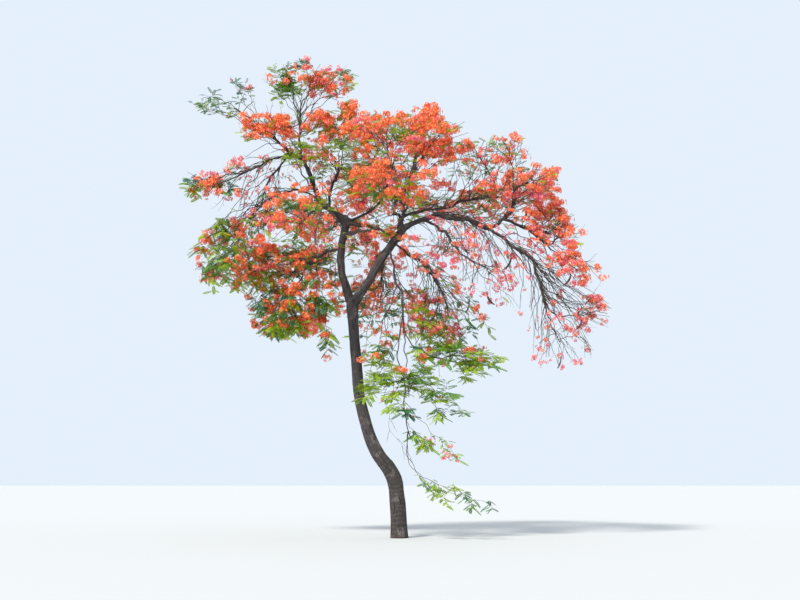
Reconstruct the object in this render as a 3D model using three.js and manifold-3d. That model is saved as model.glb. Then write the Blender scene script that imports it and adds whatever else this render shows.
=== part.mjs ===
// A flame tree in full bloom: one leaning trunk with a flared foot, a fork into two stems, arching
// boughs that spread into a wide umbrella, and masses of feathery leaves and orange blossom.
// Millimetres, +Z up. The origin is the middle of the flat cut at ground level. The long drooping
// bough reaches out along +X, and the open side of the crown, where the fork shows, faces -Y.
import * as THREE from "three";
import { mergeVertices } from "three/addons/utils/BufferGeometryUtils.js";
import Module from "manifold-3d";

const wasm = await Module();
wasm.setup();

// Trunk: x, y, z of its middle line, and its radius there without the flare
const TRUNK_LINE = [
  [4, 0, -60, 214],
  [-20, 10, 510, 206],
  [-60, 0, 1110, 198],
  [-120, -40, 1500, 196],
  [-280, -90, 1810, 186],
  [-520, -120, 2120, 172],
  [-720, -100, 2490, 160],
  [-900, -40, 3050, 150],
  [-1060, 10, 3750, 142],
  [-1160, 20, 4800, 134],
  [-1260, 0, 6120, 128],
  [-1264, 0, 6330, 66],
];
const FORK = [-1260, 0, 6120];
const TRUNK_SIDES = 15;
const TRUNK_STEPS = 20;
const FLARE = 44; // how far the root flare stands out at the ground
const FLARE_HEIGHT = 190; // the flare shrinks to a third at this height
const BUTTRESSES = 5;

// Limbs
const GAP = 0.3; // clear space between two pieces that meet
const TIP_RADIUS = 27; // a limb that carries one mass of foliage
const PIPE_POWER = 1 / 2.3; // how a limb's radius grows with the number of masses that it carries
const LIMB_SIDES = 6;
const STOUT_SIDES = 8; // for a limb more than twice as thick as the thinnest
const LIMB_STEP = 520; // length of one straight stretch of a limb
const ARM_SHARE = 0.16; // share of each stem that is one piece with the trunk's fork
const SUNK_SHARE = 0.02; // a limb starts this share further back on its parent, inside the wood
const NEAR_TIP = 0.9; // limbs that leave past this share still count in their parent's tip radius
const LEAST_KEPT = 0.7; // share of a limb's volume that has to stay after it is cut clear
const FINEST = 0.05; // edges and slivers finer than this, left by joining and cutting, are closed up

// Foliage
const STEM = { radius: 17, sides: 4, steps: 3 };
const TWIG = { radius: 9, sides: 3, steps: 2 };
const THIN_END = 0.75; // a stem or twig tapers to this share of its radius
const TWIG_AREA = 0.52e6; // one twig for this much of a mass's cross sections, in square millimetres
const LEAST_TWIGS = 5;
const STEM_END = 0.98; // the first twig leaves the stem at this share of its length
const STEM_FREE = 0.15; // no twig leaves the stem before this share, nor before the space begins
const ENTRY_STEP = 0.02; // fineness of the search along a stem for where its space begins
const STEM_STRAIGHT = 0.4; // how long a stem holds its bough's direction, as a share of its length
const TWIG_BOW = 0.1; // share of its length that a twig arches upwards
const REACH = 0.66; // how far towards the edge of its space a twig goes
const SPRAY_CORNERS = 3;
const LEAF_SPRAY = { length: 1050, width: 0.44, thickness: 0.07 }; // shares of the length
const BLOSSOM_SPRAY = { length: 800, width: 0.78, thickness: 0.42 };
const SIZES = { smallest: 0.85, largest: 1.15 }; // of the sprays, as shares of the lengths above
const SPRAY_RISE = 0.7; // how far a spray follows the rise of its twig's heading
const MOST_ROLL = 0.7; // a spray's flat side turns up to this far about its own line
const SHORTEST = 0.42; // a spray cut shorter than this share by the edge of its space is left out
const SKIP_GAP = 3; // a twig or leaf nearer than this to another piece is left out
const GOLDEN_ANGLE = Math.PI * (3 - Math.sqrt(5)); // from one twig to the next round the stem

// Where the sprays sit on a twig: the share of its length, and the turn away from its own heading
const SEATS = [
  { share: 0.98, turn: 0 },
  { share: 0.8, turn: 1.15 },
  { share: 0.6, turn: -1.2 },
];

// Each limb: its parent and the share of the parent's length where it leaves, its tip, and its bow,
// which is how far its middle stands off the straight line from start to tip.
const LIMBS = {
  stem_west: { from: "trunk", at: 1, tip: [-1400, 200, 8580], bow: [-240, 50, 0] },
  stem_east: { from: "trunk", at: 1, tip: [140, -300, 8220], bow: [-40, -50, -20] },
  bough_west: { from: "stem_west", at: 1, tip: [-2370, 100, 9500], bow: [-80, 0, -170] },
  bough_west_arch: { from: "bough_west", at: 1, tip: [-3030, -200, 10250], bow: [70, 50, 240] },
  bough_east: { from: "stem_east", at: 1, tip: [2360, 100, 8260], bow: [10, -100, 320] },
  bough_center: { from: "stem_east", at: 0.98, tip: [380, 100, 9840], bow: [-130, 0, -100] },
  bough_center_left: { from: "stem_west", at: 0.98, tip: [-250, -800, 9440], bow: [180, 0, -190] },
  bough_west_tip: { from: "bough_west_arch", at: 1, tip: [-4360, -300, 9630], bow: [40, -50, 50] },
  bough_west_drop: { from: "bough_west_arch", at: 0.92, tip: [-3670, 300, 9440], bow: [-60, 50, 80] },
  bough_top: { from: "bough_west_arch", at: 0.6, tip: [-2750, 200, 11570], bow: [-20, 30, 0] },
  bough_plate: { from: "bough_west_arch", at: 0.8, tip: [-3350, -500, 10600], bow: [40, 10, -50] },
  bough_heart_left: { from: "bough_west", at: 0.5, tip: [-1640, -600, 9630], bow: [-20, 20, 120] },
  bough_west_low: { from: "bough_west", at: 0.74, tip: [-3800, 600, 9030], bow: [-30, 40, 340] },
  bough_front_left: { from: "bough_west", at: 0.3, tip: [-2250, -1600, 8340], bow: [60, -90, 140] },
  bough_west_under: { from: "stem_west", at: 0.66, tip: [-2500, 1200, 7480], bow: [-20, 10, 120] },
  bough_back_left: { from: "stem_west", at: 0.88, tip: [-1840, 2200, 8900], bow: [10, 0, 160] },
  bough_back: { from: "stem_east", at: 0.92, tip: [-120, 2000, 9350], bow: [-10, 150, 190] },
  bough_upper_east: { from: "bough_center", at: 0.32, tip: [2540, 900, 9330], bow: [-30, 140, 60] },
  bough_east_rise: { from: "bough_east", at: 1, tip: [3120, -100, 9230], bow: [180, 0, -220] },
  bough_east_droop: { from: "bough_east", at: 0.98, tip: [3920, 0, 6200], bow: [280, -50, 250] },
  bough_east_out: { from: "bough_east_rise", at: 0.47, tip: [3980, 300, 7900], bow: [40, 50, 70] },
  bough_inner_east: { from: "bough_east", at: 0.24, tip: [1310, -1400, 7620], bow: [170, 40, 30] },
  bough_low_east: { from: "stem_east", at: 0.82, tip: [1100, 200, 6640], bow: [70, 40, 120] },
  bough_low_back: { from: "stem_east", at: 0.66, tip: [-490, 1400, 7060], bow: [-20, 120, 180] },
  bough_low_drop: { from: "stem_east", at: 0.74, tip: [120, -700, 5440], bow: [50, -110, 140] },
  bough_hanging: { from: "bough_low_drop", at: 0.88, tip: [290, -1000, 2570], bow: [-160, 320, 0] },
};

// Each mass of foliage: the bough whose tip it grows from, the middle and the half sizes of its own
// space, and how much of it is blossom.
const MASSES = {
  top: { on: "bough_top", middle: [-2270, 300, 12420], half: [1100, 1000, 820], bloom: 0.55 },
  top_left: { on: "bough_plate", middle: [-4520, -200, 11560], half: [1050, 800, 600], bloom: 0.35 },
  plate_left: { on: "bough_plate", middle: [-3300, -700, 10900], half: [880, 900, 420], bloom: 0.95 },
  dome_left: { on: "bough_heart_left", middle: [-1750, 700, 11240], half: [900, 1100, 580], bloom: 0.8 },
  heart_left: { on: "bough_heart_left", middle: [-1840, -900, 9850], half: [1000, 900, 560], bloom: 0.5 },
  dome_front: { on: "bough_center_left", middle: [-370, -1500, 10330], half: [1200, 1100, 700], bloom: 0.85 },
  heart_front: { on: "bough_center_left", middle: [-130, -2400, 8900], half: [1100, 900, 560], bloom: 0.8 },
  dome_right: { on: "bough_center", middle: [1080, -200, 10780], half: [1050, 1200, 760], bloom: 0.9 },
  dome_back: { on: "bough_center", middle: [-140, 1900, 11350], half: [1350, 1250, 700], bloom: 0.85 },
  back_high: { on: "bough_back", middle: [-780, 3200, 10050], half: [1350, 1200, 760], bloom: 0.7 },
  back_east: { on: "bough_back", middle: [1400, 2900, 9250], half: [1300, 1200, 780], bloom: 0.7 },
  back_left: { on: "bough_back_left", middle: [-2130, 3300, 8750], half: [1300, 1200, 780], bloom: 0.6 },
  shoulder: { on: "bough_upper_east", middle: [2130, 500, 10480], half: [850, 1000, 560], bloom: 0.85 },
  east_inner: { on: "bough_upper_east", middle: [3010, 1700, 9330], half: [950, 1000, 620], bloom: 0.75 },
  east_high: { on: "bough_east_rise", middle: [3620, -100, 9420], half: [920, 1050, 680], bloom: 0.9 },
  east_peak: { on: "bough_east_rise", middle: [2940, -500, 10300], half: [560, 560, 470], bloom: 0.9 },
  east_edge: { on: "bough_east_out", middle: [4480, 600, 8440], half: [680, 900, 720], bloom: 0.85 },
  east_low: { on: "bough_east_out", middle: [4750, -300, 7050], half: [680, 900, 700], bloom: 0.95 },
  east_tip: { on: "bough_east_droop", middle: [5200, 280, 5950], half: [660, 760, 520], bloom: 0.9 },
  east_droop: { on: "bough_east_droop", middle: [4240, -400, 5100], half: [950, 800, 700], bloom: 0.8 },
  front_east: { on: "bough_inner_east", middle: [1080, -2050, 7120], half: [950, 900, 520], bloom: 0.85 },
  mid_droop: { on: "bough_inner_east", middle: [2460, -600, 6960], half: [1000, 900, 750], bloom: 0.75 },
  low_east: { on: "bough_low_east", middle: [1330, 250, 5850], half: [1100, 1100, 720], bloom: 0.55 },
  green_east: { on: "bough_low_drop", middle: [1500, -500, 4550], half: [1150, 1000, 560], bloom: 0.15 },
  green_low: { on: "bough_low_drop", middle: [250, -1200, 3640], half: [1200, 850, 760], bloom: 0.12 },
  hanging: { on: "bough_hanging", middle: [1350, -1150, 1830], half: [1150, 680, 980], bloom: 0.2 },
  front_left: { on: "bough_front_left", middle: [-2490, -2400, 7850], half: [1080, 1000, 700], bloom: 0.6 },
  west_tip: { on: "bough_west_tip", middle: [-5230, -200, 9330], half: [800, 760, 480], bloom: 0.6 },
  west_mid: { on: "bough_west_drop", middle: [-3760, 150, 8850], half: [1000, 800, 620], bloom: 0.75 },
  west_low: { on: "bough_west_low", middle: [-4560, 650, 7650], half: [1120, 1200, 800], bloom: 0.45 },
  west_back: { on: "bough_west_under", middle: [-2860, 2150, 7500], half: [1100, 1200, 700], bloom: 0.5 },
  west_skirt: { on: "bough_west_under", middle: [-3120, 1200, 6250], half: [1100, 1200, 800], bloom: 0.7 },
  back_low: { on: "bough_low_back", middle: [-560, 2500, 6460], half: [1300, 1200, 850], bloom: 0.5 },
};

// Masses whose twigs fall over instead of spreading in a dome
const WEEPING = ["east_droop", "mid_droop", "low_east", "hanging", "west_mid", "west_low", "west_skirt"];

// From the first twig of a mass to the last, the height of its heading, in half sizes of the mass,
// and how far its leaves point down.
const DOME_HABIT = { highest: 1, lowest: -0.4, fall: 0.12 };
const WEEPING_HABIT = { highest: 0.4, lowest: -1, fall: 0.75 };

// Finishes
const BARK = new THREE.MeshStandardMaterial({ color: 0x5a4c46, roughness: 0.92, flatShading: true });
const BLOSSOM = new THREE.MeshStandardMaterial({ color: 0xf0562a, roughness: 0.6, flatShading: true });
const LEAF = new THREE.MeshStandardMaterial({ color: 0x6f9a2e, roughness: 0.6, flatShading: true });

const UP = new THREE.Vector3(0, 0, 1);
const vector = (xyz) => new THREE.Vector3(...xyz);

// A number from 0 to 1 that depends only on three whole numbers, so the tree always grows alike.
function chance(mass, twig, piece) {
  const wave = Math.sin(mass * 12.9898 + twig * 78.233 + piece * 37.719) * 43758.5453;
  return wave - Math.floor(wave);
}

// A curve from start to tip whose middle stands off the straight line by bow.
function bowed(start, tip, bow) {
  const control = start.clone().add(tip).multiplyScalar(0.5).addScaledVector(bow, 2);
  return new THREE.QuadraticBezierCurve3(start, control, tip);
}

// A closed solid from a geometry, with each of its corners moved to place(corner).
function toSolid(geometry, place) {
  geometry.deleteAttribute("normal");
  geometry.deleteAttribute("uv");
  const merged = mergeVertices(geometry);
  const corners = merged.getAttribute("position");
  for (let i = 0; i < corners.count; i++) {
    const corner = place(new THREE.Vector3().fromBufferAttribute(corners, i));
    corners.setXYZ(i, corner.x, corner.y, corner.z);
  }
  const vertProperties = new Float32Array(corners.array);
  const triVerts = new Uint32Array(merged.index.array);
  return new wasm.Manifold(new wasm.Mesh({ numProp: 3, vertProperties, triVerts }));
}

// Directions square to a curve at t, from the world axis that the whole curve runs along least.
function crossAxes(curve, t) {
  const chord = curve.getPoint(1).sub(curve.getPoint(0)).toArray().map(Math.abs);
  const reference = new THREE.Vector3().setComponent(chord.indexOf(Math.min(...chord)), 1);
  const along = curve.getTangent(t);
  const across = reference.cross(along).normalize();
  return { along, across, over: across.clone().cross(along) };
}

// A tapering limb: a cylinder of one unit bent along the curve from one share of it to another.
// grow makes it that much thicker, and longer at both ends.
function limb({ curve, radius, sides, steps, from = 0, to = 1, grow = 0 }) {
  return toSolid(new THREE.CylinderGeometry(1, 1, 1, sides, steps), (corner) => {
    const t = from + (to - from) * (corner.y + 0.5);
    const { along, across, over } = crossAxes(curve, t);
    const middle = curve.getPoint(t);
    const thick = radius(t, Math.atan2(corner.z, corner.x), middle) + grow;
    middle.addScaledVector(along, grow * Math.trunc(2 * corner.y));
    return middle.addScaledVector(across, thick * corner.x).addScaledVector(over, thick * corner.z);
  });
}

// A point on the middle line of a limb, which runs straight from one of its rings to the next.
function pointOnLimb({ curve, steps }, share) {
  const ring = Math.min(Math.floor(share * steps), steps - 1);
  return curve.getPoint(ring / steps).lerp(curve.getPoint((ring + 1) / steps), share * steps - ring);
}

// The largest body of a solid. Loose scraps are dropped, and a sealed hollow is filled.
function largestBody(solid) {
  const bodies = solid.decompose();
  return bodies.reduce((best, body) => (body.volume() > best.volume() ? body : best)).simplify(FINEST);
}

// How many masses a limb carries at its own tip and through its limbs that leave past a share.
function massesCarried(name, pastShare = 0) {
  const own = Object.values(MASSES).filter((mass) => mass.on === name).length;
  const children = Object.keys(LIMBS).filter(
    (child) => LIMBS[child].from === name && LIMBS[child].at > pastShare,
  );
  return own + children.reduce((sum, child) => sum + massesCarried(child), 0);
}

// Trunk
const trunkCurve = new THREE.CatmullRomCurve3(TRUNK_LINE.map((row) => vector(row.slice(0, 3))));

function trunkRadius(t, angle, middle) {
  const row = t * (TRUNK_LINE.length - 1);
  const below = Math.min(Math.floor(row), TRUNK_LINE.length - 2);
  const [low, high] = [TRUNK_LINE[below][3], TRUNK_LINE[below + 1][3]];
  const lobe = 0.6 + 0.4 * Math.cos(BUTTRESSES * angle);
  return THREE.MathUtils.lerp(low, high, row - below) + FLARE * lobe * Math.exp(-middle.z / FLARE_HEIGHT);
}

// The line, radius and fineness of every limb, each starting on its parent's line.
const limbShapes = {};
for (const [name, { from, at, tip, bow }] of Object.entries(LIMBS)) {
  const start = from === "trunk" ? vector(FORK) : limbShapes[from].curve.getPoint(at - SUNK_SHARE);
  const curve = bowed(start, vector(tip), vector(bow));
  const rootRadius = TIP_RADIUS * massesCarried(name) ** PIPE_POWER;
  const tipRadius = TIP_RADIUS * massesCarried(name, NEAR_TIP) ** PIPE_POWER;
  limbShapes[name] = {
    curve,
    radius: (t) => THREE.MathUtils.lerp(rootRadius, tipRadius, t),
    sides: rootRadius > 2 * TIP_RADIUS ? STOUT_SIDES : LIMB_SIDES,
    steps: Math.max(3, Math.round(curve.getLength() / LIMB_STEP)),
  };
}

// The trunk up to its fork, where the first stretch of both stems is one piece with it.
function makeTrunk(grow = 0) {
  const shape = { curve: trunkCurve, radius: trunkRadius, sides: TRUNK_SIDES, steps: TRUNK_STEPS };
  const arms = ["stem_west", "stem_east"].map((name) =>
    limb({ ...limbShapes[name], to: ARM_SHARE, steps: 2, grow }),
  );
  return largestBody(wasm.Manifold.union([limb({ ...shape, grow }), ...arms]).trimByPlane([0, 0, 1], 0));
}

// Every limb is cut clear of the trunk and of the limbs made before it.
const solids = { trunk: makeTrunk() };
const grown = { trunk: makeTrunk(GAP) };
for (const [name, { from }] of Object.entries(LIMBS)) {
  const shape = { ...limbShapes[name], from: from === "trunk" ? ARM_SHARE : 0 };
  const whole = limb(shape);
  solids[name] = largestBody(whole.subtract(wasm.Manifold.union(Object.values(grown))));
  grown[name] = limb({ ...shape, grow: GAP });
  const kept = solids[name].volume() / whole.volume();
  if (kept < LEAST_KEPT) throw new Error(`${name} keeps only ${kept.toFixed(2)} of its volume`);
}

function boxesMeet(a, b, margin) {
  const [boxA, boxB] = [a.boundingBox(), b.boundingBox()];
  return [0, 1, 2].every(
    (k) => boxA.min[k] < boxB.max[k] + margin && boxB.min[k] < boxA.max[k] + margin,
  );
}

function touchesAny(solid, others) {
  return others.some(
    (other) => boxesMeet(solid, other, SKIP_GAP) && solid.minGap(other, SKIP_GAP) < SKIP_GAP,
  );
}

// How far it is from a point to the edge of a mass's space in some direction.
function distanceToEdge({ middle, half }, point, direction) {
  const offset = point.clone().sub(vector(middle)).divide(vector(half));
  const slope = direction.clone().divide(vector(half));
  const [a, b, c] = [slope.lengthSq(), offset.dot(slope), offset.lengthSq() - 1];
  return c > 0 ? 0 : (Math.sqrt(b * b - a * c) - b) / a;
}

// A stem or twig of foliage.
function twigShape(curve, kind) {
  return { ...kind, curve, radius: (t) => kind.radius * THREE.MathUtils.lerp(1, THIN_END, t) };
}

// The stem of a mass leaves its bough's tip straight on, then turns to the middle of its space.
// Where two masses share a tip, their stems stand side by side on it.
function stemShape(name) {
  const { on, middle } = MASSES[name];
  const { curve, radius } = limbShapes[on];
  const along = curve.getTangent(1);
  const sharing = Object.values(MASSES).filter((mass) => mass.on === on);
  const between = new THREE.Vector3();
  for (const mass of sharing) between.addScaledVector(vector(mass.middle), 1 / sharing.length);
  const aside = vector(middle).sub(between).projectOnPlane(along).clampLength(0, radius(1) / 2);
  const start = curve.getPoint(1).addScaledVector(along, GAP).add(aside);
  const control = start.clone().addScaledVector(along, STEM_STRAIGHT * start.distanceTo(vector(middle)));
  const line = new THREE.QuadraticBezierCurve3(start, control, vector(middle));
  return twigShape(line, STEM);
}

const stemShapes = {};
const stems = {};
for (const name of Object.keys(MASSES)) {
  stemShapes[name] = stemShape(name);
  stems[name] = limb(stemShapes[name]);
}

// The share of its length at which a stem comes into its mass's own space.
function entryShare(name) {
  const inside = (t) => distanceToEdge(MASSES[name], pointOnLimb(stemShapes[name], t), UP) > 0;
  let share = STEM_FREE;
  while (share < 1 && !inside(share)) share += ENTRY_STEP;
  return share;
}

// A spray of leaves or blossom: a flat spindle of few faces whose one point is inside the twig.
function spray(kind, root, direction, length, roll) {
  const side = direction.clone().cross(UP).normalize().applyAxisAngle(direction, roll);
  const frame = new THREE.Matrix4().makeBasis(side, direction, side.clone().cross(direction));
  frame.scale(new THREE.Vector3(kind.width, 1, kind.thickness).multiplyScalar(length / 2));
  frame.setPosition(root.clone().addScaledVector(direction, length / 2));
  return toSolid(new THREE.SphereGeometry(1, SPRAY_CORNERS, 2), (corner) => corner.applyMatrix4(frame));
}

// The heading of a mass's twig: a golden spiral from the top of its space to the lowest twigs.
function twigHeading(order, twig, count, habit) {
  const height = THREE.MathUtils.lerp(habit.highest, habit.lowest, (twig + 0.5) / count);
  const azimuth = order + twig * GOLDEN_ANGLE;
  const flat = Math.sqrt(1 - height * height);
  return new THREE.Vector3(flat * Math.cos(azimuth), flat * Math.sin(azimuth), height);
}

// The spray at a twig's seat: leaves or blossom by chance, shorter where the mass's space ends.
function seatedSpray(mass, twigLine, seat, azimuth, rise, luck) {
  const kind = luck.kind < mass.bloom ? BLOSSOM_SPRAY : LEAF_SPRAY;
  const root = pointOnLimb(twigLine, seat.share);
  const turned = azimuth + seat.turn;
  const direction = new THREE.Vector3(Math.cos(turned), Math.sin(turned), rise).normalize();
  const wanted = THREE.MathUtils.lerp(SIZES.smallest, SIZES.largest, luck.size) * kind.length;
  const length = Math.min(wanted, distanceToEdge(mass, root, direction));
  const roll = MOST_ROLL * (2 * luck.roll - 1);
  return length < SHORTEST * wanted ? null : spray(kind, root, direction, length, roll);
}

// A mass of foliage: a stem, twigs along it to all sides of its space, and the sprays on each twig.
function growMass(name, order, obstacles) {
  const mass = MASSES[name];
  const habit = WEEPING.includes(name) ? WEEPING_HABIT : DOME_HABIT;
  const [a, b, c] = mass.half;
  const count = Math.max(LEAST_TWIGS, Math.round((a * b + b * c + c * a) / TWIG_AREA));
  const entry = entryShare(name);
  const twigs = [];
  const sprays = [];
  for (let i = 0; i < count; i++) {
    const heading = twigHeading(order, i, count, habit);
    const along = (i + chance(order, i, 0)) / count;
    const start = pointOnLimb(stemShapes[name], THREE.MathUtils.lerp(STEM_END, entry, along));
    const target = vector(mass.middle).addScaledVector(heading.clone().multiply(vector(mass.half)), REACH);
    const line = bowed(start, target, UP.clone().multiplyScalar(TWIG_BOW * start.distanceTo(target)));
    const azimuth = Math.atan2(target.y - start.y, target.x - start.x);
    const shape = twigShape(line, TWIG);
    const twig = limb(shape);
    if (touchesAny(twig, [...obstacles, ...sprays])) continue;
    twigs.push(twig);
    const rise = SPRAY_RISE * heading.z - habit.fall;
    SEATS.forEach((seat, k) => {
      const [kind, size, roll] = [1, 2, 3].map((draw) => chance(order, i, 3 * k + draw));
      const luck = { kind, size, roll };
      const made = seatedSpray(mass, shape, seat, azimuth, rise, luck);
      const others = [...obstacles, ...sprays, stems[name], ...twigs.slice(0, -1)];
      if (made && !touchesAny(made, others)) sprays.push(made);
    });
  }
  return largestBody(wasm.Manifold.union([stems[name], ...twigs, ...sprays]));
}

// A solid as a named mesh, placed at its own root.
function makeMesh(name, solid, root, material) {
  const { vertProperties, triVerts } = solid.getMesh();
  const geometry = new THREE.BufferGeometry();
  geometry.setAttribute("position", new THREE.BufferAttribute(vertProperties, 3));
  geometry.setIndex(new THREE.BufferAttribute(triVerts, 1));
  geometry.translate(-root.x, -root.y, -root.z);
  const mesh = new THREE.Mesh(geometry, material);
  mesh.name = name;
  mesh.position.copy(root);
  return mesh;
}

const wood = new THREE.Group();
wood.add(makeMesh("trunk", solids.trunk, new THREE.Vector3(), BARK));
for (const name of Object.keys(LIMBS))
  wood.add(makeMesh(name, solids[name], limbShapes[name].curve.getPoint(0), BARK));

const crown = new THREE.Group();
const finished = Object.values(solids);
Object.keys(MASSES).forEach((name, order) => {
  const otherStems = Object.keys(stems).filter((other) => other !== name).map((other) => stems[other]);
  const grownMass = growMass(name, order, [...finished, ...otherStems]);
  finished.push(grownMass);
  const material = MASSES[name].bloom > 0.5 ? BLOSSOM : LEAF;
  crown.add(makeMesh(`mass_${name}`, grownMass, stemShapes[name].curve.getPoint(0), material));
});

const tree = new THREE.Group();
tree.add(wood, crown);

export default tree;
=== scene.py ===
# %% [markdown]
# # A flame tree in full bloom
# A flame tree is a low, wide umbrella of thin arching branches. Feathery leaves and bunches of
# orange blossom sit only at the very ends of the twigs, so the wood shows through the crown and
# the sky shows through the wood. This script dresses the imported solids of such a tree: it grows
# bark, twigs, leaves, blossom and pods on the same lines as the solids, one step finer each time.
#
# Everything is in metres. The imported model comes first, because its box says how much room the
# dressed tree has.

# %% Load the frame
from collections import namedtuple

import bpy
import numpy as np
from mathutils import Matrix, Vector


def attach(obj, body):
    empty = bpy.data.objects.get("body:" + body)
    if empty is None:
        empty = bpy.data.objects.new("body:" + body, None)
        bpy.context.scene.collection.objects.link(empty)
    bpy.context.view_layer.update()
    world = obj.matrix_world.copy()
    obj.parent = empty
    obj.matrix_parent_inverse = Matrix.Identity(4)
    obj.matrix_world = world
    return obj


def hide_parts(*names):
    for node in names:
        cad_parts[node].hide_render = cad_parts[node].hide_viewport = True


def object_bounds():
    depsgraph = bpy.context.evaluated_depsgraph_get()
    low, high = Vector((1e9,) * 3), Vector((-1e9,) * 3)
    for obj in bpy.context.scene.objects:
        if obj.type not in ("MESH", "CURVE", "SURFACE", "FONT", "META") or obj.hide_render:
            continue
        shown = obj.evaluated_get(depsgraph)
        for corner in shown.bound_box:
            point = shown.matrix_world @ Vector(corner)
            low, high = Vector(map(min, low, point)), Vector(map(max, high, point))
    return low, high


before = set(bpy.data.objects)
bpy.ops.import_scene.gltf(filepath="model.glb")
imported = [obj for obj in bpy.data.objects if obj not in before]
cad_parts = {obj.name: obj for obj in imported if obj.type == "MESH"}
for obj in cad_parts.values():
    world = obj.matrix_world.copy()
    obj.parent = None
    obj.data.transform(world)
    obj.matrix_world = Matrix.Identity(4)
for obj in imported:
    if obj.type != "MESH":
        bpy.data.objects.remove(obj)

cad_box = [list(corner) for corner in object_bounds()]
print("frame:", len(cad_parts), "nodes, box", np.round(cad_box, 2).tolist())

# %% [markdown]
# ## The camera, the floor and the light
# The eye stands 32 m in front of the tree, 1.55 m over the ground, and looks up a little,
# so the horizon lies low in the frame. A camera's view follows from four numbers: its distance,
# its height, its tilt and its focal length. The tilt and the lens were worked out from where the
# horizon lies and from how tall the tree stands in the frame.

# %% Camera
CAMERA_PLACE = (0.02, -31.9, 1.55)
FOCAL_PIXELS = 1200  # the lens, counted in pixels of a frame 800 wide
FRAME_WIDTH, FRAME_HEIGHT = 800, 600
HORIZON_DROP = 178  # the horizon lies this many pixels under the middle of the frame
SENSOR = 36

camera_data = bpy.data.cameras.new("camera")
camera_data.sensor_width = SENSOR
camera_data.lens = SENSOR * FOCAL_PIXELS / FRAME_WIDTH
camera = bpy.data.objects.new("camera", camera_data)
camera.location = CAMERA_PLACE
camera.rotation_euler = (np.pi / 2 + np.arctan(HORIZON_DROP / FOCAL_PIXELS), 0, 0)
bpy.context.scene.collection.objects.link(camera)
bpy.context.scene.camera = camera
print("camera: lens", camera_data.lens, "mm")

# %% [markdown]
# A plain floor and a plain pale sky keep the eye on the tree. One broad sun from the front left
# gives the petals their glow and the trunk its round shade, and the sky fills the shadows. A sun
# lamp with a wide angle is softer than a small bright one, like a hazy noon.

# %% Floor and light
FLOOR_HALF = 220.0
FLOOR_COLOR = (0.52, 0.53, 0.53, 1)
FLOOR_ROUGHNESS = 0.9
SKY_COLOR = (0.78, 0.87, 0.97, 1)
SKY_STRENGTH = 1.0
SUN_STRENGTH = 4.2
SUN_ANGLE = 0.16
SUN_COLOR = (1.0, 0.965, 0.9)
SUN_FROM = Vector((-0.45, -0.72, 0.85))

floor_mesh = bpy.data.meshes.new("floor")
floor_signs = [(-1, -1), (1, -1), (1, 1), (-1, 1)]
floor_corners = [(x * FLOOR_HALF, y * FLOOR_HALF, 0) for x, y in floor_signs]
floor_mesh.from_pydata(floor_corners, [], [(0, 1, 2, 3)])
floor = bpy.data.objects.new("floor", floor_mesh)
bpy.context.scene.collection.objects.link(floor)
floor_finish = bpy.data.materials.new("pale floor")
floor_finish.use_nodes = True
floor_shader = floor_finish.node_tree.nodes["Principled BSDF"]
floor_shader.inputs["Base Color"].default_value = FLOOR_COLOR
floor_shader.inputs["Roughness"].default_value = FLOOR_ROUGHNESS
floor_mesh.materials.append(floor_finish)

sun_data = bpy.data.lights.new("sun", "SUN")
sun_data.energy = SUN_STRENGTH
sun_data.angle = SUN_ANGLE
sun_data.color = SUN_COLOR
sun = bpy.data.objects.new("sun", sun_data)
sun.rotation_euler = SUN_FROM.to_track_quat("Z", "Y").to_euler()
bpy.context.scene.collection.objects.link(sun)

sky = bpy.data.worlds.new("sky")
sky.use_nodes = True
sky.node_tree.nodes["Background"].inputs["Color"].default_value = SKY_COLOR
sky.node_tree.nodes["Background"].inputs["Strength"].default_value = SKY_STRENGTH
bpy.context.scene.world = sky
bpy.context.scene.view_settings.view_transform = "Standard"
print("light: sun", SUN_STRENGTH, "sky", SKY_STRENGTH)

# %% [markdown]
# ## The tree's own plan
# The solids were grown from two short lists: the limbs, each with its parent and its tip, and the
# masses of foliage, each with the limb that carries it and the space that it may fill. The same
# lists are repeated here, so that the bark and the finer twigs grow on exactly the same lines.

# %% Trunk and limbs
# x, y, z of the trunk's middle line, and its radius there without the flare
TRUNK_LINE = np.array([
    [0.004, 0.000, -0.06, 0.214],
    [-0.020, 0.010, 0.51, 0.206],
    [-0.060, 0.000, 1.11, 0.198],
    [-0.120, -0.040, 1.50, 0.196],
    [-0.280, -0.090, 1.81, 0.186],
    [-0.520, -0.120, 2.12, 0.172],
    [-0.720, -0.100, 2.49, 0.160],
    [-0.900, -0.040, 3.05, 0.150],
    [-1.060, 0.010, 3.75, 0.142],
    [-1.160, 0.020, 4.80, 0.134],
    [-1.260, 0.000, 6.12, 0.128],
    [-1.264, 0.000, 6.33, 0.066],
])
FORK = np.array([-1.26, 0.0, 6.12])

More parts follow.
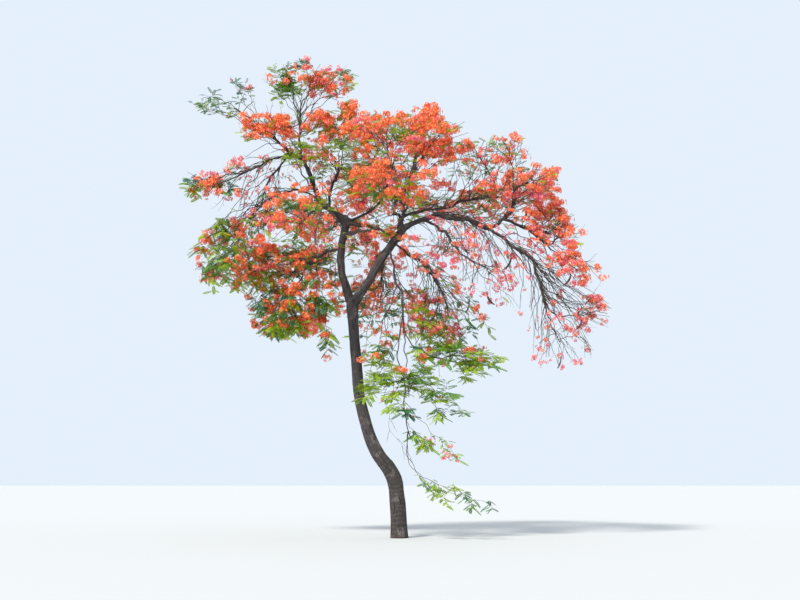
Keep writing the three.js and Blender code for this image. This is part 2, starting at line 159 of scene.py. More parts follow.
# A limb's parent, the share of the parent's length where it leaves, its tip, and its bow
LIMBS = {
    "stem_west": ("trunk", 1, (-1.4, 0.2, 8.58), (-0.24, 0.05, 0)),
    "stem_east": ("trunk", 1, (0.14, -0.3, 8.22), (-0.04, -0.05, -0.02)),
    "bough_west": ("stem_west", 1, (-2.37, 0.1, 9.5), (-0.08, 0, -0.17)),
    "bough_west_arch": ("bough_west", 1, (-3.03, -0.2, 10.25), (0.07, 0.05, 0.24)),
    "bough_east": ("stem_east", 1, (2.36, 0.1, 8.26), (0.01, -0.1, 0.32)),
    "bough_center": ("stem_east", 0.98, (0.38, 0.1, 9.84), (-0.13, 0, -0.1)),
    "bough_center_left": ("stem_west", 0.98, (-0.25, -0.8, 9.44), (0.18, 0, -0.19)),
    "bough_west_tip": ("bough_west_arch", 1, (-4.36, -0.3, 9.63), (0.04, -0.05, 0.05)),
    "bough_west_drop": ("bough_west_arch", 0.92, (-3.67, 0.3, 9.44), (-0.06, 0.05, 0.08)),
    "bough_top": ("bough_west_arch", 0.6, (-2.75, 0.2, 11.57), (-0.02, 0.03, 0)),
    "bough_plate": ("bough_west_arch", 0.8, (-3.35, -0.5, 10.6), (0.04, 0.01, -0.05)),
    "bough_heart_left": ("bough_west", 0.5, (-1.64, -0.6, 9.63), (-0.02, 0.02, 0.12)),
    "bough_west_low": ("bough_west", 0.74, (-3.8, 0.6, 9.03), (-0.03, 0.04, 0.34)),
    "bough_front_left": ("bough_west", 0.3, (-2.25, -1.6, 8.34), (0.06, -0.09, 0.14)),
    "bough_west_under": ("stem_west", 0.66, (-2.5, 1.2, 7.48), (-0.02, 0.01, 0.12)),
    "bough_back_left": ("stem_west", 0.88, (-1.84, 2.2, 8.9), (0.01, 0, 0.16)),
    "bough_back": ("stem_east", 0.92, (-0.12, 2, 9.35), (-0.01, 0.15, 0.19)),
    "bough_upper_east": ("bough_center", 0.32, (2.54, 0.9, 9.33), (-0.03, 0.14, 0.06)),
    "bough_east_rise": ("bough_east", 1, (3.12, -0.1, 9.23), (0.18, 0, -0.22)),
    "bough_east_droop": ("bough_east", 0.98, (3.92, 0, 6.2), (0.28, -0.05, 0.25)),
    "bough_east_out": ("bough_east_rise", 0.47, (3.98, 0.3, 7.9), (0.04, 0.05, 0.07)),
    "bough_inner_east": ("bough_east", 0.24, (1.31, -1.4, 7.62), (0.17, 0.04, 0.03)),
    "bough_low_east": ("stem_east", 0.82, (1.1, 0.2, 6.64), (0.07, 0.04, 0.12)),
    "bough_low_back": ("stem_east", 0.66, (-0.49, 1.4, 7.06), (-0.02, 0.12, 0.18)),
    "bough_low_drop": ("stem_east", 0.74, (0.12, -0.7, 5.44), (0.05, -0.11, 0.14)),
    "bough_hanging": ("bough_low_drop", 0.88, (0.29, -1, 2.57), (-0.16, 0.32, 0)),
}
TIP_RADIUS = 0.027  # of a limb that carries one mass of foliage
PIPE_POWER = 1 / 2.3  # how a limb's radius grows with the number of masses that it carries
SUNK_SHARE = 0.02  # a limb starts this share further back on its parent
NEAR_TIP = 0.9  # past this share of a limb, only the masses at its own end thicken its tip
print("plan:", len(LIMBS), "limbs")

# %% [markdown]
# Leaves and bloom sit in masses with air between them. A mass is planned as an egg-shaped space
# beyond the tip of its limb: a middle, three half sizes and a share of blossom are all that the
# rule needs to fill it. A mesh for each mass would fix its outline and make it a blob.

# %% Masses of foliage
# A mass's limb, the middle and half sizes of its space, and the share of it that is blossom
MASSES = {
    "top": ("bough_top", (-2.27, 0.3, 12.42), (1.1, 1, 0.82), 0.55),
    "top_left": ("bough_plate", (-4.52, -0.2, 11.56), (1.05, 0.8, 0.6), 0.35),
    "plate_left": ("bough_plate", (-3.3, -0.7, 10.9), (0.88, 0.9, 0.42), 0.95),
    "dome_left": ("bough_heart_left", (-1.75, 0.7, 11.24), (0.9, 1.1, 0.58), 0.8),
    "heart_left": ("bough_heart_left", (-1.84, -0.9, 9.85), (1, 0.9, 0.56), 0.5),
    "dome_front": ("bough_center_left", (-0.37, -1.5, 10.33), (1.2, 1.1, 0.7), 0.85),
    "heart_front": ("bough_center_left", (-0.13, -2.4, 8.9), (1.1, 0.9, 0.56), 0.8),
    "dome_right": ("bough_center", (1.08, -0.2, 10.78), (1.05, 1.2, 0.76), 0.9),
    "dome_back": ("bough_center", (-0.14, 1.9, 11.35), (1.35, 1.25, 0.7), 0.85),
    "back_high": ("bough_back", (-0.78, 3.2, 10.05), (1.35, 1.2, 0.76), 0.7),
    "back_east": ("bough_back", (1.4, 2.9, 9.25), (1.3, 1.2, 0.78), 0.7),
    "back_left": ("bough_back_left", (-2.13, 3.3, 8.75), (1.3, 1.2, 0.78), 0.6),
    "shoulder": ("bough_upper_east", (2.13, 0.5, 10.48), (0.85, 1, 0.56), 0.85),
    "east_inner": ("bough_upper_east", (3.01, 1.7, 9.33), (0.95, 1, 0.62), 0.75),
    "east_high": ("bough_east_rise", (3.62, -0.1, 9.42), (0.92, 1.05, 0.68), 0.9),
    "east_peak": ("bough_east_rise", (2.94, -0.5, 10.3), (0.56, 0.56, 0.47), 0.9),
    "east_edge": ("bough_east_out", (4.48, 0.6, 8.44), (0.68, 0.9, 0.72), 0.85),
    "east_low": ("bough_east_out", (4.75, -0.3, 7.05), (0.68, 0.9, 0.7), 0.95),
    "east_tip": ("bough_east_droop", (5.2, 0.28, 5.95), (0.66, 0.76, 0.52), 0.9),
    "east_droop": ("bough_east_droop", (4.24, -0.4, 5.1), (0.95, 0.8, 0.7), 0.8),
    "front_east": ("bough_inner_east", (1.08, -2.05, 7.12), (0.95, 0.9, 0.52), 0.85),
    "mid_droop": ("bough_inner_east", (2.46, -0.6, 6.96), (1, 0.9, 0.75), 0.75),
    "low_east": ("bough_low_east", (1.33, 0.25, 5.85), (1.1, 1.1, 0.72), 0.55),
    "green_east": ("bough_low_drop", (1.5, -0.5, 4.55), (1.15, 1, 0.56), 0.15),
    "green_low": ("bough_low_drop", (0.25, -1.2, 3.64), (1.2, 0.85, 0.76), 0.12),
    "hanging": ("bough_hanging", (1.35, -1.15, 1.83), (1.15, 0.68, 0.98), 0.2),
    "front_left": ("bough_front_left", (-2.49, -2.4, 7.85), (1.08, 1, 0.7), 0.6),
    "west_tip": ("bough_west_tip", (-5.23, -0.2, 9.33), (0.8, 0.76, 0.48), 0.6),
    "west_mid": ("bough_west_drop", (-3.76, 0.15, 8.85), (1, 0.8, 0.62), 0.75),
    "west_low": ("bough_west_low", (-4.56, 0.65, 7.65), (1.12, 1.2, 0.8), 0.45),
    "west_back": ("bough_west_under", (-2.86, 2.15, 7.5), (1.1, 1.2, 0.7), 0.5),
    "west_skirt": ("bough_west_under", (-3.12, 1.2, 6.25), (1.1, 1.2, 0.8), 0.7),
    "back_low": ("bough_low_back", (-0.56, 2.5, 6.46), (1.3, 1.2, 0.85), 0.5),
}
MASS_NAMES = list(MASSES)
MASS_MIDDLE = np.array([row[1] for row in MASSES.values()])
MASS_HALF = np.array([row[2] for row in MASSES.values()])
MASS_BLOOM = np.array([row[3] for row in MASSES.values()])

# Masses whose twigs fall over instead of spreading in a dome
WEEPING = ["east_droop", "mid_droop", "low_east", "hanging", "west_mid", "west_low", "west_skirt"]
WEEPS = np.array([name in WEEPING for name in MASS_NAMES])
print("plan:", len(MASSES), "masses,", len(WEEPING), "of them weeping")

# %% [markdown]
# No two parts of the crown look alike. The left arm is a flat plate of solid blossom, the far left
# is a few tufts of leaves on bare twigs, the right is a rain of single bunches, and the low masses
# are nearly all leaves. Seven numbers for each mass say how it differs from the plain habit.

# %% How each mass grows
# full: the share of its shoots that grow; flush: more or less blossom than the plan; rich: fuller
# bunches above 1; leafy: more or fewer leaves; deep: older leaves above 0 and fresher below; wide
# and tall: how far its sprays may stand out of its space, sideways and up
Growth = namedtuple(
    "Growth", "full flush rich leafy deep wide tall", defaults=(0.55, 1.0, 1.0, 1.0, 0.0, 1.2, 0.95),
)
GROWTH = {
    "top": Growth(full=0.62, rich=1.2, leafy=1.2, deep=-0.05, wide=1.1),
    "top_left": Growth(full=0.02, flush=0.2, rich=0.6, leafy=0.9, deep=0.35),
    "plate_left": Growth(full=1.0, rich=1.7, leafy=0.6, wide=1.0, tall=0.7),
    "dome_left": Growth(full=0.6, rich=1.2, leafy=1.2, deep=-0.15, tall=0.9),
    "heart_left": Growth(full=0.55, leafy=1.2, deep=-0.3),
    "dome_front": Growth(full=0.7, rich=1.4, leafy=0.8, deep=-0.35, tall=0.85),
    "heart_front": Growth(full=0.75, rich=1.4, leafy=0.8, deep=-0.35),
    "dome_right": Growth(full=0.85, rich=1.5, leafy=0.7, deep=-0.3, tall=0.85),
    "dome_back": Growth(rich=1.2, deep=-0.2, tall=0.75),
    "back_high": Growth(full=0.7, rich=1.2),
    "back_east": Growth(full=0.65),
    "back_left": Growth(full=0.8, flush=1.3, rich=1.2),
    "back_low": Growth(full=0.8, flush=1.3, deep=0.15),
    "shoulder": Growth(full=0.65, rich=1.1, leafy=0.6, wide=1.05, tall=0.8),
    "east_inner": Growth(full=0.5, rich=1.2),
    "east_high": Growth(full=0.65, flush=1.1, rich=1.3, leafy=0.55, deep=0.1, wide=0.92, tall=0.85),
    "east_peak": Growth(full=0.6, leafy=0.5, wide=1.1, tall=0.9),
    "east_edge": Growth(full=0.6, flush=1.05, rich=1.2, leafy=0.5, deep=0.2, wide=0.85, tall=1.0),
    "east_low": Growth(full=0.65, flush=1.1, rich=1.4, leafy=0.2, wide=0.85, tall=1.0),
    "east_tip": Growth(full=0.4, flush=1.2, leafy=0.1, wide=0.95, tall=1.0),
    "east_droop": Growth(full=0.22, flush=1.3, rich=0.5, leafy=0.1, tall=1.1),
    "mid_droop": Growth(full=0.25, flush=1.2, rich=0.7, leafy=0.2, tall=1.1),
    "front_east": Growth(full=0.35, flush=1.1, leafy=0.3),
    "low_east": Growth(full=0.4, flush=1.1, rich=0.9, leafy=0.6, deep=-0.1, tall=1.0),
    "green_east": Growth(full=0.65, flush=0.9, leafy=1.6, deep=-0.25, wide=1.1),
    "green_low": Growth(full=0.8, flush=0.7, leafy=1.6, deep=-0.15, wide=1.1, tall=1.1),
    "hanging": Growth(full=0.0, leafy=1.3, deep=-0.1),
    "west_tip": Growth(full=0.35, flush=1.1, rich=1.1, deep=0.2, wide=1.1),
    "west_mid": Growth(full=0.3, flush=1.2, rich=0.7, leafy=0.5, deep=0.1, tall=1.1),
    "west_low": Growth(full=0.8, rich=1.2, leafy=0.9, wide=1.25, tall=1.1),
    "west_back": Growth(full=0.9, flush=1.1, rich=1.1, leafy=1.1, deep=0.1),
    "west_skirt": Growth(full=1.0, flush=0.95, rich=1.3, deep=0.1, tall=1.1),
    "front_left": Growth(full=0.7, flush=1.1, rich=1.2, leafy=0.9, deep=-0.1),
}
GROWN = Growth(*np.array([GROWTH[name] for name in MASS_NAMES]).T)
SPILL = np.stack([GROWN.wide, GROWN.wide, GROWN.tall], axis=-1)
print("habits:", len(GROWTH))

# %% [markdown]
# ## Curves, chance and tubes
# Every limb and twig is a quadratic curve: a start, an end, and a control point that pulls it to
# one side. It is the simplest curve that can bow, and numpy can work out thousands at once. The
# chances that make one twig unlike the next come from a sine wave of three numbers, so the tree
# grows alike each time. The first two say which mass, limb or twig it is for, and the last says
# which of its draws it is.

# %% Curves and chance
UP = np.array([0.0, 0.0, 1.0])
NEARLY_UP = UP + 0.01  # crossed with an upright twig, it still gives a direction
ASLANT = UP + [0.3, 0.2, 0]
TINY = 1e-9
GOLDEN_ANGLE = np.pi * (3 - np.sqrt(5))
WAVE_STEPS = (12.9898, 78.233, 37.719)  # how far each number carries along the wave
WAVE_HEIGHT = 43758.5453
POINT_STEPS = np.array([91.7, 53.3, 27.1])  # for chances that come from a point's x, y and z


def chance(mass, twig, piece):
    """A number from 0 to 1 for each trio of numbers: what is left of a tall sine wave after its
    whole part is taken off."""
    turn = mass * WAVE_STEPS[0] + twig * WAVE_STEPS[1] + piece * WAVE_STEPS[2]
    wave = np.sin(turn) * WAVE_HEIGHT
    return wave - np.floor(wave)


def unit(vectors):
    """Each vector divided by its own length."""
    return vectors / np.maximum(np.linalg.norm(vectors, axis=-1, keepdims=True), TINY)


def mixed(low, high, share):
    """The value that lies a share of the way from low to high."""
    return low + (high - low) * share


def point_on(curve, share):
    """(1 - t) squared of the start, 2 t (1 - t) of the control point and t squared of the end."""
    start, control, end = curve
    t = np.asarray(share, float)[..., None]
    return (1 - t) ** 2 * start + 2 * t * (1 - t) * control + t**2 * end


def heading_on(curve, share):
    """The curve's direction: (1 - t) of start to control and t of control to end, one long."""
    start, control, end = curve
    t = np.asarray(share, float)[..., None]
    return unit((1 - t) * (control - start) + t * (end - control))


def bowed(start, tip, bow):
    """A curve whose middle stands off the straight line from start to tip by bow."""
    return start, (start + tip) / 2 + 2 * bow, tip


def axes_round(direction):
    """Two directions square to a direction: across is it crossed with nearly upwards, and over is
    across crossed with it."""
    across = unit(np.cross(direction, NEARLY_UP))
    return across, np.cross(across, direction)


def sway_axes(chord):
    """The two directions that a limb or twig sways in: its chord crossed with a line aslant, and
    the chord's direction crossed with that."""
    across = unit(np.cross(chord, ASLANT))
    return across, np.cross(unit(chord), across)


def turned(first, second, angle):
    """The cosine of an angle times the first direction, plus its sine times the second."""
    return np.cos(angle) * first + np.sin(angle) * second


def spiral_heading(azimuth, height):
    """A direction one long that climbs by the height and goes sideways by the root of one less the
    height squared, turned to the azimuth."""
    flat = np.sqrt(1 - height**2)
    return np.stack([flat * np.cos(azimuth), flat * np.sin(azimuth), height], axis=-1)


print("chance of twig 3 in mass 2:", round(float(chance(2, 3, 1)), 4))

# %% [markdown]
# A tube is the workhorse of a tree. Rings of corners stand square to a line, and faces join each
# ring to the next. A frame that turns with the line could twist, so each ring takes its sideways
# direction from one world axis, the one that the whole line runs along least. The two ends are
# closed with a flat cap, so that each twig is a solid stick.

# %% Tubes
def cross_axes(lines):
    """Two directions square to each line at every ring: across is the least used world axis crossed
    with the line's own direction, and over is across crossed with it again."""
    along = unit(np.gradient(lines, axis=1))
    chord = np.abs(lines[:, -1] - lines[:, 0])
    reference = np.eye(3)[np.argmin(chord, axis=1)]
    across = unit(np.cross(reference[:, None, :], along))
    return across, np.cross(across, along)


def tubes(lines, radii, sides):
    """Corners and faces of closed tubes. A corner is the line's point, plus the radius times the
    cosine of its angle across, plus the radius times the sine of its angle over. lines holds one
    line a row, and radii one number for each ring, or one for each corner of each ring."""
    count, rings, _ = lines.shape
    across, over = cross_axes(lines)
    angle = 2 * np.pi * np.arange(sides) / sides
    spokes = across[:, :, None] * np.cos(angle)[:, None] + over[:, :, None] * np.sin(angle)[:, None]
    radii = radii if radii.ndim == 3 else radii[:, :, None]
    corners = lines[:, :, None] + radii[..., None] * spokes
    number = np.arange(count * rings * sides).reshape(count, rings, sides)
    beside = np.roll(number, -1, axis=2)
    walls = np.stack([number[:, :-1], number[:, 1:], beside[:, 1:], beside[:, :-1]], axis=-1)
    caps = np.concatenate([number[:, 0], number[:, -1, ::-1]])
    return corners.reshape(-1, 3), [walls.reshape(-1, 4), caps]


def new_piece(name, corners, faces, materials, finish=None):
    """A mesh object from arrays: corners as rows of x, y and z, and faces as one array of corner
    numbers for each number of sides. finish numbers the material of each face."""
    mesh = bpy.data.meshes.new(name)
    corner_list = np.concatenate([block.ravel() for block in faces]).astype(np.int32)
    sizes = np.concatenate([np.full(len(block), block.shape[1]) for block in faces])
    mesh.vertices.add(len(corners))
    mesh.vertices.foreach_set("co", corners.astype(np.float32).ravel())
    mesh.loops.add(len(corner_list))
    mesh.loops.foreach_set("vertex_index", corner_list)
    mesh.polygons.add(len(sizes))
    mesh.polygons.foreach_set("loop_start", (np.cumsum(sizes) - sizes).astype(np.int32))
    if finish is not None:
        mesh.polygons.foreach_set("material_index", finish.astype(np.int32))
    mesh.polygons.foreach_set("use_smooth", np.ones(len(sizes), bool))
    mesh.update(calc_edges=True)
    for material in materials:
        mesh.materials.append(material)
    piece = bpy.data.objects.new(name, mesh)
    bpy.context.scene.collection.objects.link(piece)
    triangles = int((sizes - 2).sum())
    print(f"{name}: {len(corners)} corners, {triangles} triangles")
    return piece


def joined(parts):
    """Several pairs of corners and faces as one pair, with the corner numbers moved along."""
    corners = np.concatenate([part[0] for part in parts])
    offsets = np.cumsum([0] + [len(part[0]) for part in parts[:-1]])
    widths = sorted({block.shape[1] for part in parts for block in part[1]})
    faces = [
        np.concatenate([
            block + offset
            for (_, blocks), offset in zip(parts, offsets)
            for block in blocks
            if block.shape[1] == width
        ])
        for width in widths
    ]
    return corners, faces


# %% [markdown]
# ## Materials
# Each finish is a small tree of nodes. Bark, leaves and petals are all patchy in life, so every
# colour is varied by noise that is read from the object's own coordinates. Noise is cheap, has no
# seams and looks the same from every side. Leaves and petals are thin, and light shines through
# them, so their shader is mixed with one that passes light on from behind. Their fine specks are
# painted glow: the colour of that light, laid into the base colour.

# %% Node helpers
def feed(tree, socket, value):
    """Links a value that is a socket to another socket, and sets any other value on it."""
    if isinstance(value, bpy.types.NodeSocket):
        tree.links.new(value, socket)
    else:
        socket.default_value = value


def node(tree, kind, **values):
    """A new node whose inputs are fed. An underscore in an input's name stands for a space."""
    made = tree.nodes.new(kind)
    for name, value in values.items():
        feed(tree, made.inputs[name.replace("_", " ")], value)
    return made


def blended(tree, share, low, high):
    """A colour between low and high, mixed by a share from 0 to 1."""
    mix = tree.nodes.new("ShaderNodeMix")
    mix.data_type = "RGBA"
    for number, value in zip((0, 6, 7), (share, low, high)):
        feed(tree, mix.inputs[number], value)
    return mix.outputs[2]


def ranged(tree, value, low, high):
    """A number stretched so that low becomes 0 and high becomes 1, and cut off outside them."""
    made = node(tree, "ShaderNodeMapRange", Value=value, From_Min=low, From_Max=high)
    return made.outputs["Result"]


def scaled_sum(tree, value, factor, more):
    """A value times a factor, plus another value."""
    made = tree.nodes.new("ShaderNodeMath")
    made.operation = "MULTIPLY_ADD"
    for number, term in enumerate((value, factor, more)):
        feed(tree, made.inputs[number], term)
    return made.outputs["Value"]


def own_place(tree):
    """A point's place in the object's own coordinates."""
    return tree.nodes.new("ShaderNodeTexCoord").outputs["Object"]


def noise(tree, place, scale, detail, roughness=0.5):
    """Soft noise around 0.5, read at a place. The larger the scale, the finer it is."""
    made = node(
        tree, "ShaderNodeTexNoise", Vector=place, Scale=scale, Detail=detail, Roughness=roughness,
    )
    return made.outputs["Fac"]


def fresh_material(name, roughness, specular):
    """A material with one Principled shader, and the two things that every recipe starts from."""
    material = bpy.data.materials.new(name)
    material.use_nodes = True
    shader = material.node_tree.nodes["Principled BSDF"]
    shader.inputs["Roughness"].default_value = roughness
    shader.inputs["Specular IOR Level"].default_value = specular
    return material, material.node_tree, shader


def color_and_relief(tree, shader, color, height, distance, strength=1.0):
    """Feeds the shader a colour, and a bump that raises the height by a distance in metres."""
    tree.links.new(color, shader.inputs["Base Color"])
    bump = node(tree, "ShaderNodeBump", Height=height, Distance=distance, Strength=strength)
    tree.links.new(bump.outputs["Normal"], shader.inputs["Normal"])


print("node helpers ready")

# %% [markdown]
# Bark is read from a place of its own on the surface: how far round the limb and how far along
# it. A pattern stretched along that place makes cracks that follow every bend. This tree's bark is
# smooth for a tree: fine upright cracks, ragged pale patches where the outer skin has worn off,
# and small corky dots that let it breathe. On the lower trunk the dots run together into faint
# pale rings.

# %% Bark
BOUGH_COLOR = (0.055, 0.048, 0.049, 1)
FOOT_COLOR = (0.042, 0.035, 0.033, 1)
FOOT_FADE = (2.6, 0.5)  # the heights where the foot's colour begins and where it is full
GRIT_COLOR = (0.070, 0.060, 0.058, 1)
PATCH_COLOR = (0.140, 0.121, 0.114, 1)
RING_COLOR = (0.20, 0.165, 0.145, 1)
RING_FADE = (2.4, 1.4)  # the same two heights for the rings
RING_SPACING = 0.11
WAVE_LENGTH = 0.314  # of the wave texture at scale 1, in metres
CRACK_COLOR = (0.015, 0.013, 0.013, 1)
CRACK_STRETCH = 0.17  # cracks are about six times as long as they are wide
DOT_COLOR = (0.17, 0.140, 0.122, 1)
DOT_SQUASH = 2.4  # corky dots are that much wider than they are tall


def bark_material():
    """Bark: a colour that fades from the boughs' to the trunk foot's, with grit, worn patches,
    faint rings, cracks and corky dots laid over it one by one. Cracks, grit and dots also make the
    relief."""
    material, tree, shader = fresh_material("bark", 0.88, 0.25)
    attribute = tree.nodes.new("ShaderNodeAttribute")
    attribute.attribute_name = "bark_place"
    place = attribute.outputs["Vector"]
    stretched = node(tree, "ShaderNodeMapping", Vector=place, Scale=(1, 1, CRACK_STRETCH))
    squashed = node(tree, "ShaderNodeMapping", Vector=place, Scale=(1, 1, DOT_SQUASH))
    cracks = noise(tree, stretched.outputs["Vector"], 24.0, 6.0, 0.68)
    grit = noise(tree, place, 70.0, 3.0)
    patches = noise(tree, place, 3.4, 7.0, 0.68)
    cells = node(tree, "ShaderNodeTexVoronoi", Vector=squashed.outputs["Vector"], Scale=21.0)
    dots = ranged(tree, cells.outputs["Distance"], 0.22, 0.10)
    rings = node(
        tree, "ShaderNodeTexWave", Vector=place, Scale=WAVE_LENGTH / RING_SPACING,
        Distortion=6.0, Detail=3.0,
    )
    rings.bands_direction = "Z"
    height = node(tree, "ShaderNodeSeparateXYZ", Vector=own_place(tree)).outputs["Z"]
    color = blended(tree, ranged(tree, height, *FOOT_FADE), BOUGH_COLOR, FOOT_COLOR)
    color = blended(tree, ranged(tree, grit, 0.42, 0.78), color, GRIT_COLOR)
    color = blended(tree, ranged(tree, patches, 0.53, 0.63), color, PATCH_COLOR)
    low = blended(tree, ranged(tree, height, *RING_FADE), color, RING_COLOR)
    color = blended(tree, ranged(tree, rings.outputs["Fac"], 0.5, 3.4), color, low)
    color = blended(tree, ranged(tree, cracks, 0.47, 0.36), color, CRACK_COLOR)
    color = blended(tree, dots, color, DOT_COLOR)
    raised = scaled_sum(tree, dots, 0.5, scaled_sum(tree, cracks, 1.6, grit))
    color_and_relief(tree, shader, color, raised, 0.010)
    return material


BARK = bark_material()
print("bark:", len(BARK.node_tree.nodes), "nodes")

# %% [markdown]
# Twigs are too thin for furrows, so they get two colours: dark brown wood, and a green skin on
# patches of younger wood. Leaves and petals share one recipe, because both are thin sheets.

# %% Twigs, leaves and petals
WOOD_COLOR = (0.055, 0.040, 0.040, 1)
YOUNG_COLOR = (0.09, 0.10, 0.045, 1)
TWIG_GRIT_COLOR = (0.14, 0.11, 0.10, 1)
# Each thin sheet's colour, that of its patches, the glow of light through it (also laid into its
# fine specks as painted glow), and its roughness
LEAF_COLORS = {
    "leaf fresh": ((0.26, 0.38, 0.01, 1), (0.15, 0.29, 0.01, 1), (0.42, 0.56, 0.02, 1), 0.65),
    "leaf green": ((0.09, 0.22, 0.015, 1), (0.05, 0.16, 0.02, 1), (0.18, 0.37, 0.02, 1), 0.65),
    "leaf deep": ((0.035, 0.14, 0.06, 1), (0.025, 0.10, 0.05, 1), (0.08, 0.26, 0.09, 1), 0.65),
}
PETAL_COLORS = {
    "petal orange": ((0.97, 0.13, 0.038, 1), (0.85, 0.09, 0.032, 1), (1.0, 0.26, 0.13, 1), 0.6),
    "petal scarlet": ((0.94, 0.16, 0.15, 1), (0.83, 0.10, 0.12, 1), (1.0, 0.32, 0.31, 1), 0.55),
    "petal crimson": ((0.72, 0.07, 0.18, 1), (0.58, 0.045, 0.15, 1), (0.92, 0.22, 0.34, 1), 0.55),
    "petal standard": ((1.0, 0.46, 0.16, 1), (0.97, 0.32, 0.10, 1), (1.0, 0.62, 0.32, 1), 0.55),
}
LEAF_THROUGH, PETAL_THROUGH = 0.25, 0.3  # the share of light that passes through them


def twig_material():
    """Dark brown, with greener patches half a metre long and fine grit."""
    material, tree, shader = fresh_material("twig bark", 0.8, 0.3)
    place = own_place(tree)
    grit = noise(tree, place, 90.0, 2.0)
    color = blended(tree, ranged(tree, noise(tree, place, 2.2, 2.0), 0.5, 0.72), WOOD_COLOR, YOUNG_COLOR)
    color = blended(tree, ranged(tree, grit, 0.45, 0.75), color, TWIG_GRIT_COLOR)
    color_and_relief(tree, shader, color, grit, 0.002, 0.6)
    return material


def thin_material(name, color, deep, glow, roughness, through):
    """A thin sheet: color patched with deep by broad noise and specked with painted glow, the glow
    colour laid on by fine noise, mixed with a shader that passes the share through of the light
    from behind, in the colour glow."""
    material, tree, shader = fresh_material(name, roughness, 0.35)
    place = own_place(tree)
    patched = blended(tree, ranged(tree, noise(tree, place, 1.6, 2.0), 0.42, 0.68), color, deep)
    # Painted glow: fine specks of the colour of light through the sheet, laid into the base colour
    with_painted_glow = blended(tree, ranged(tree, noise(tree, place, 38.0, 1.0), 0.5, 0.9), patched, glow)
    tree.links.new(with_painted_glow, shader.inputs["Base Color"])
    passing = node(tree, "ShaderNodeBsdfTranslucent", Color=glow)
    mix = node(tree, "ShaderNodeMixShader", Fac=through)
    tree.links.new(shader.outputs["BSDF"], mix.inputs[1])
    tree.links.new(passing.outputs["BSDF"], mix.inputs[2])
    tree.links.new(mix.outputs["Shader"], tree.nodes["Material Output"].inputs["Surface"])
    return material


TWIG_BARK = twig_material()
LEAF_FINISHES = [thin_material(name, *row, LEAF_THROUGH) for name, row in LEAF_COLORS.items()]
PETAL_FINISHES = [thin_material(name, *row, PETAL_THROUGH) for name, row in PETAL_COLORS.items()]
print("thin finishes:", len(LEAF_FINISHES), "leaf and", len(PETAL_FINISHES), "petal colours")

# %% [markdown]
# ## Trunk and boughs
# The limbs are swept tubes like the solids, but round, with a swollen collar where each one
# leaves its parent, as living wood has. Fluting and furrows are worked into the radius of every
# corner, from a few waves that run round and along the limb. A sculpted mesh would be richer, but
# waves keep the seam closed by themselves, because each fits a whole number of times round.

# %% Lines and radii of the limbs
def carried_masses(name, past_share=0.0):
    """The masses at a limb's own tip and at the tips of its limbs that leave past a share."""
    found = [mass for mass, row in MASSES.items() if row[0] == name]
    for child, (parent, at, _, _) in LIMBS.items():
        if parent == name and at > past_share:
            found += carried_masses(child)
    return found


# %% [markdown]
# A plain curve looks too smooth for this tree, whose boughs change their mind every half metre.
# So each limb wanders off its curve by a few slow waves. They fade out at both ends, so the limb
# still starts and ends where the plan says, and all that grows on the limb follows its waves.

# %% Wandering limbs
WANDER = 0.028  # of the limb's length
STEADY = 0.35  # the stems wander this much less
WANDER_TURNS = (1.3, 2.9, 5.3)  # turns of each wave over the whole limb
CALM = 0.8  # a wave's height is one over its turns to this power
# Some limbs are stouter, and some more slender, than the masses that they carry say
BUILD = {
    "stem_west": 1.25, "stem_east": 1.25, "bough_west": 1.15, "bough_low_drop": 0.7,
    "bough_hanging": 0.5,
}
limb_curves, limb_radii = {}, {}


def limb_point(name, share):
    """The point of the limb's curve, plus a sum of sine waves along each of two directions square
    to the chord. All are faded by the sine of half a turn from root to tip."""
    curve, share = limb_curves[name], np.asarray(share, float)
    chord = curve[2] - curve[0]
    across, over = sway_axes(chord)
    wander = WANDER * (STEADY if name.startswith("stem") else 1)
    fade = np.sin(np.pi * share) * wander * np.linalg.norm(chord)
    seed = list(LIMBS).index(name)
    sums = [
        sum(
            np.sin(2 * np.pi * (turns * share + chance(seed, turns, side))) / turns**CALM
            for turns in WANDER_TURNS
        )
        for side in (1, 2)
    ]
    first, second = ((fade * total)[..., None] for total in sums)
    return point_on(curve, share) + first * across + second * over


for name, (parent, at, tip, bow) in LIMBS.items():
    start = FORK if parent == "trunk" else limb_point(parent, at - SUNK_SHARE)
    limb_curves[name] = bowed(start, np.array(tip), np.array(bow))
    tip_radius = TIP_RADIUS * BUILD.get(name, 1)
    limb_radii[name] = [
        tip_radius * len(carried_masses(name, share)) ** PIPE_POWER for share in (0.0, NEAR_TIP)
    ]
print("stems leave the fork", np.round(limb_radii["stem_west"][0], 3), "m thick at the radius")

# %% [markdown]
# Real bark is never quite round. Displacing a dense mesh by a texture would show that, but it
# needs far more faces. Here a few waves that run round the limb change the radius itself, and
# each one's place drifts as it goes along, so no ridge runs dead straight.

# %% Relief of the bark
TIMES_ROUND = np.array([2, 3, 5, 7, 11, 16])[:, None, None]
LEAST_DRIFT = 0.6
SWAY_PACE, SWAY = 1.7, 1.4
SWELL_PACES, SWELL = (5.3, 2.1), 0.8  # slow swellings along the limb


def relief(angle, along, seed, depth):
    """How far the bark stands out: waves that each run a whole number of times round, whose place
    round the limb drifts as it goes along. Coarse waves are deep and fine ones shallow."""
    waves = np.arange(len(TIMES_ROUND))
    drift = (LEAST_DRIFT + chance(seed, waves, 1))[:, None, None] * TIMES_ROUND**0.5
    phase = 2 * np.pi * chance(seed, waves, 2)[:, None, None]
    sway = np.sin(along * drift * SWAY_PACE + phase) * SWAY
    share = 1 / np.sqrt(TIMES_ROUND)
    height = share * np.cos(TIMES_ROUND * angle + phase + sway)
    swell = SWELL * np.sin(along * SWELL_PACES[0] + seed) * np.sin(along * SWELL_PACES[1] + 2 * seed)
    return depth * (height.sum(axis=0) + swell)


print("relief:", len(TIMES_ROUND), "waves")
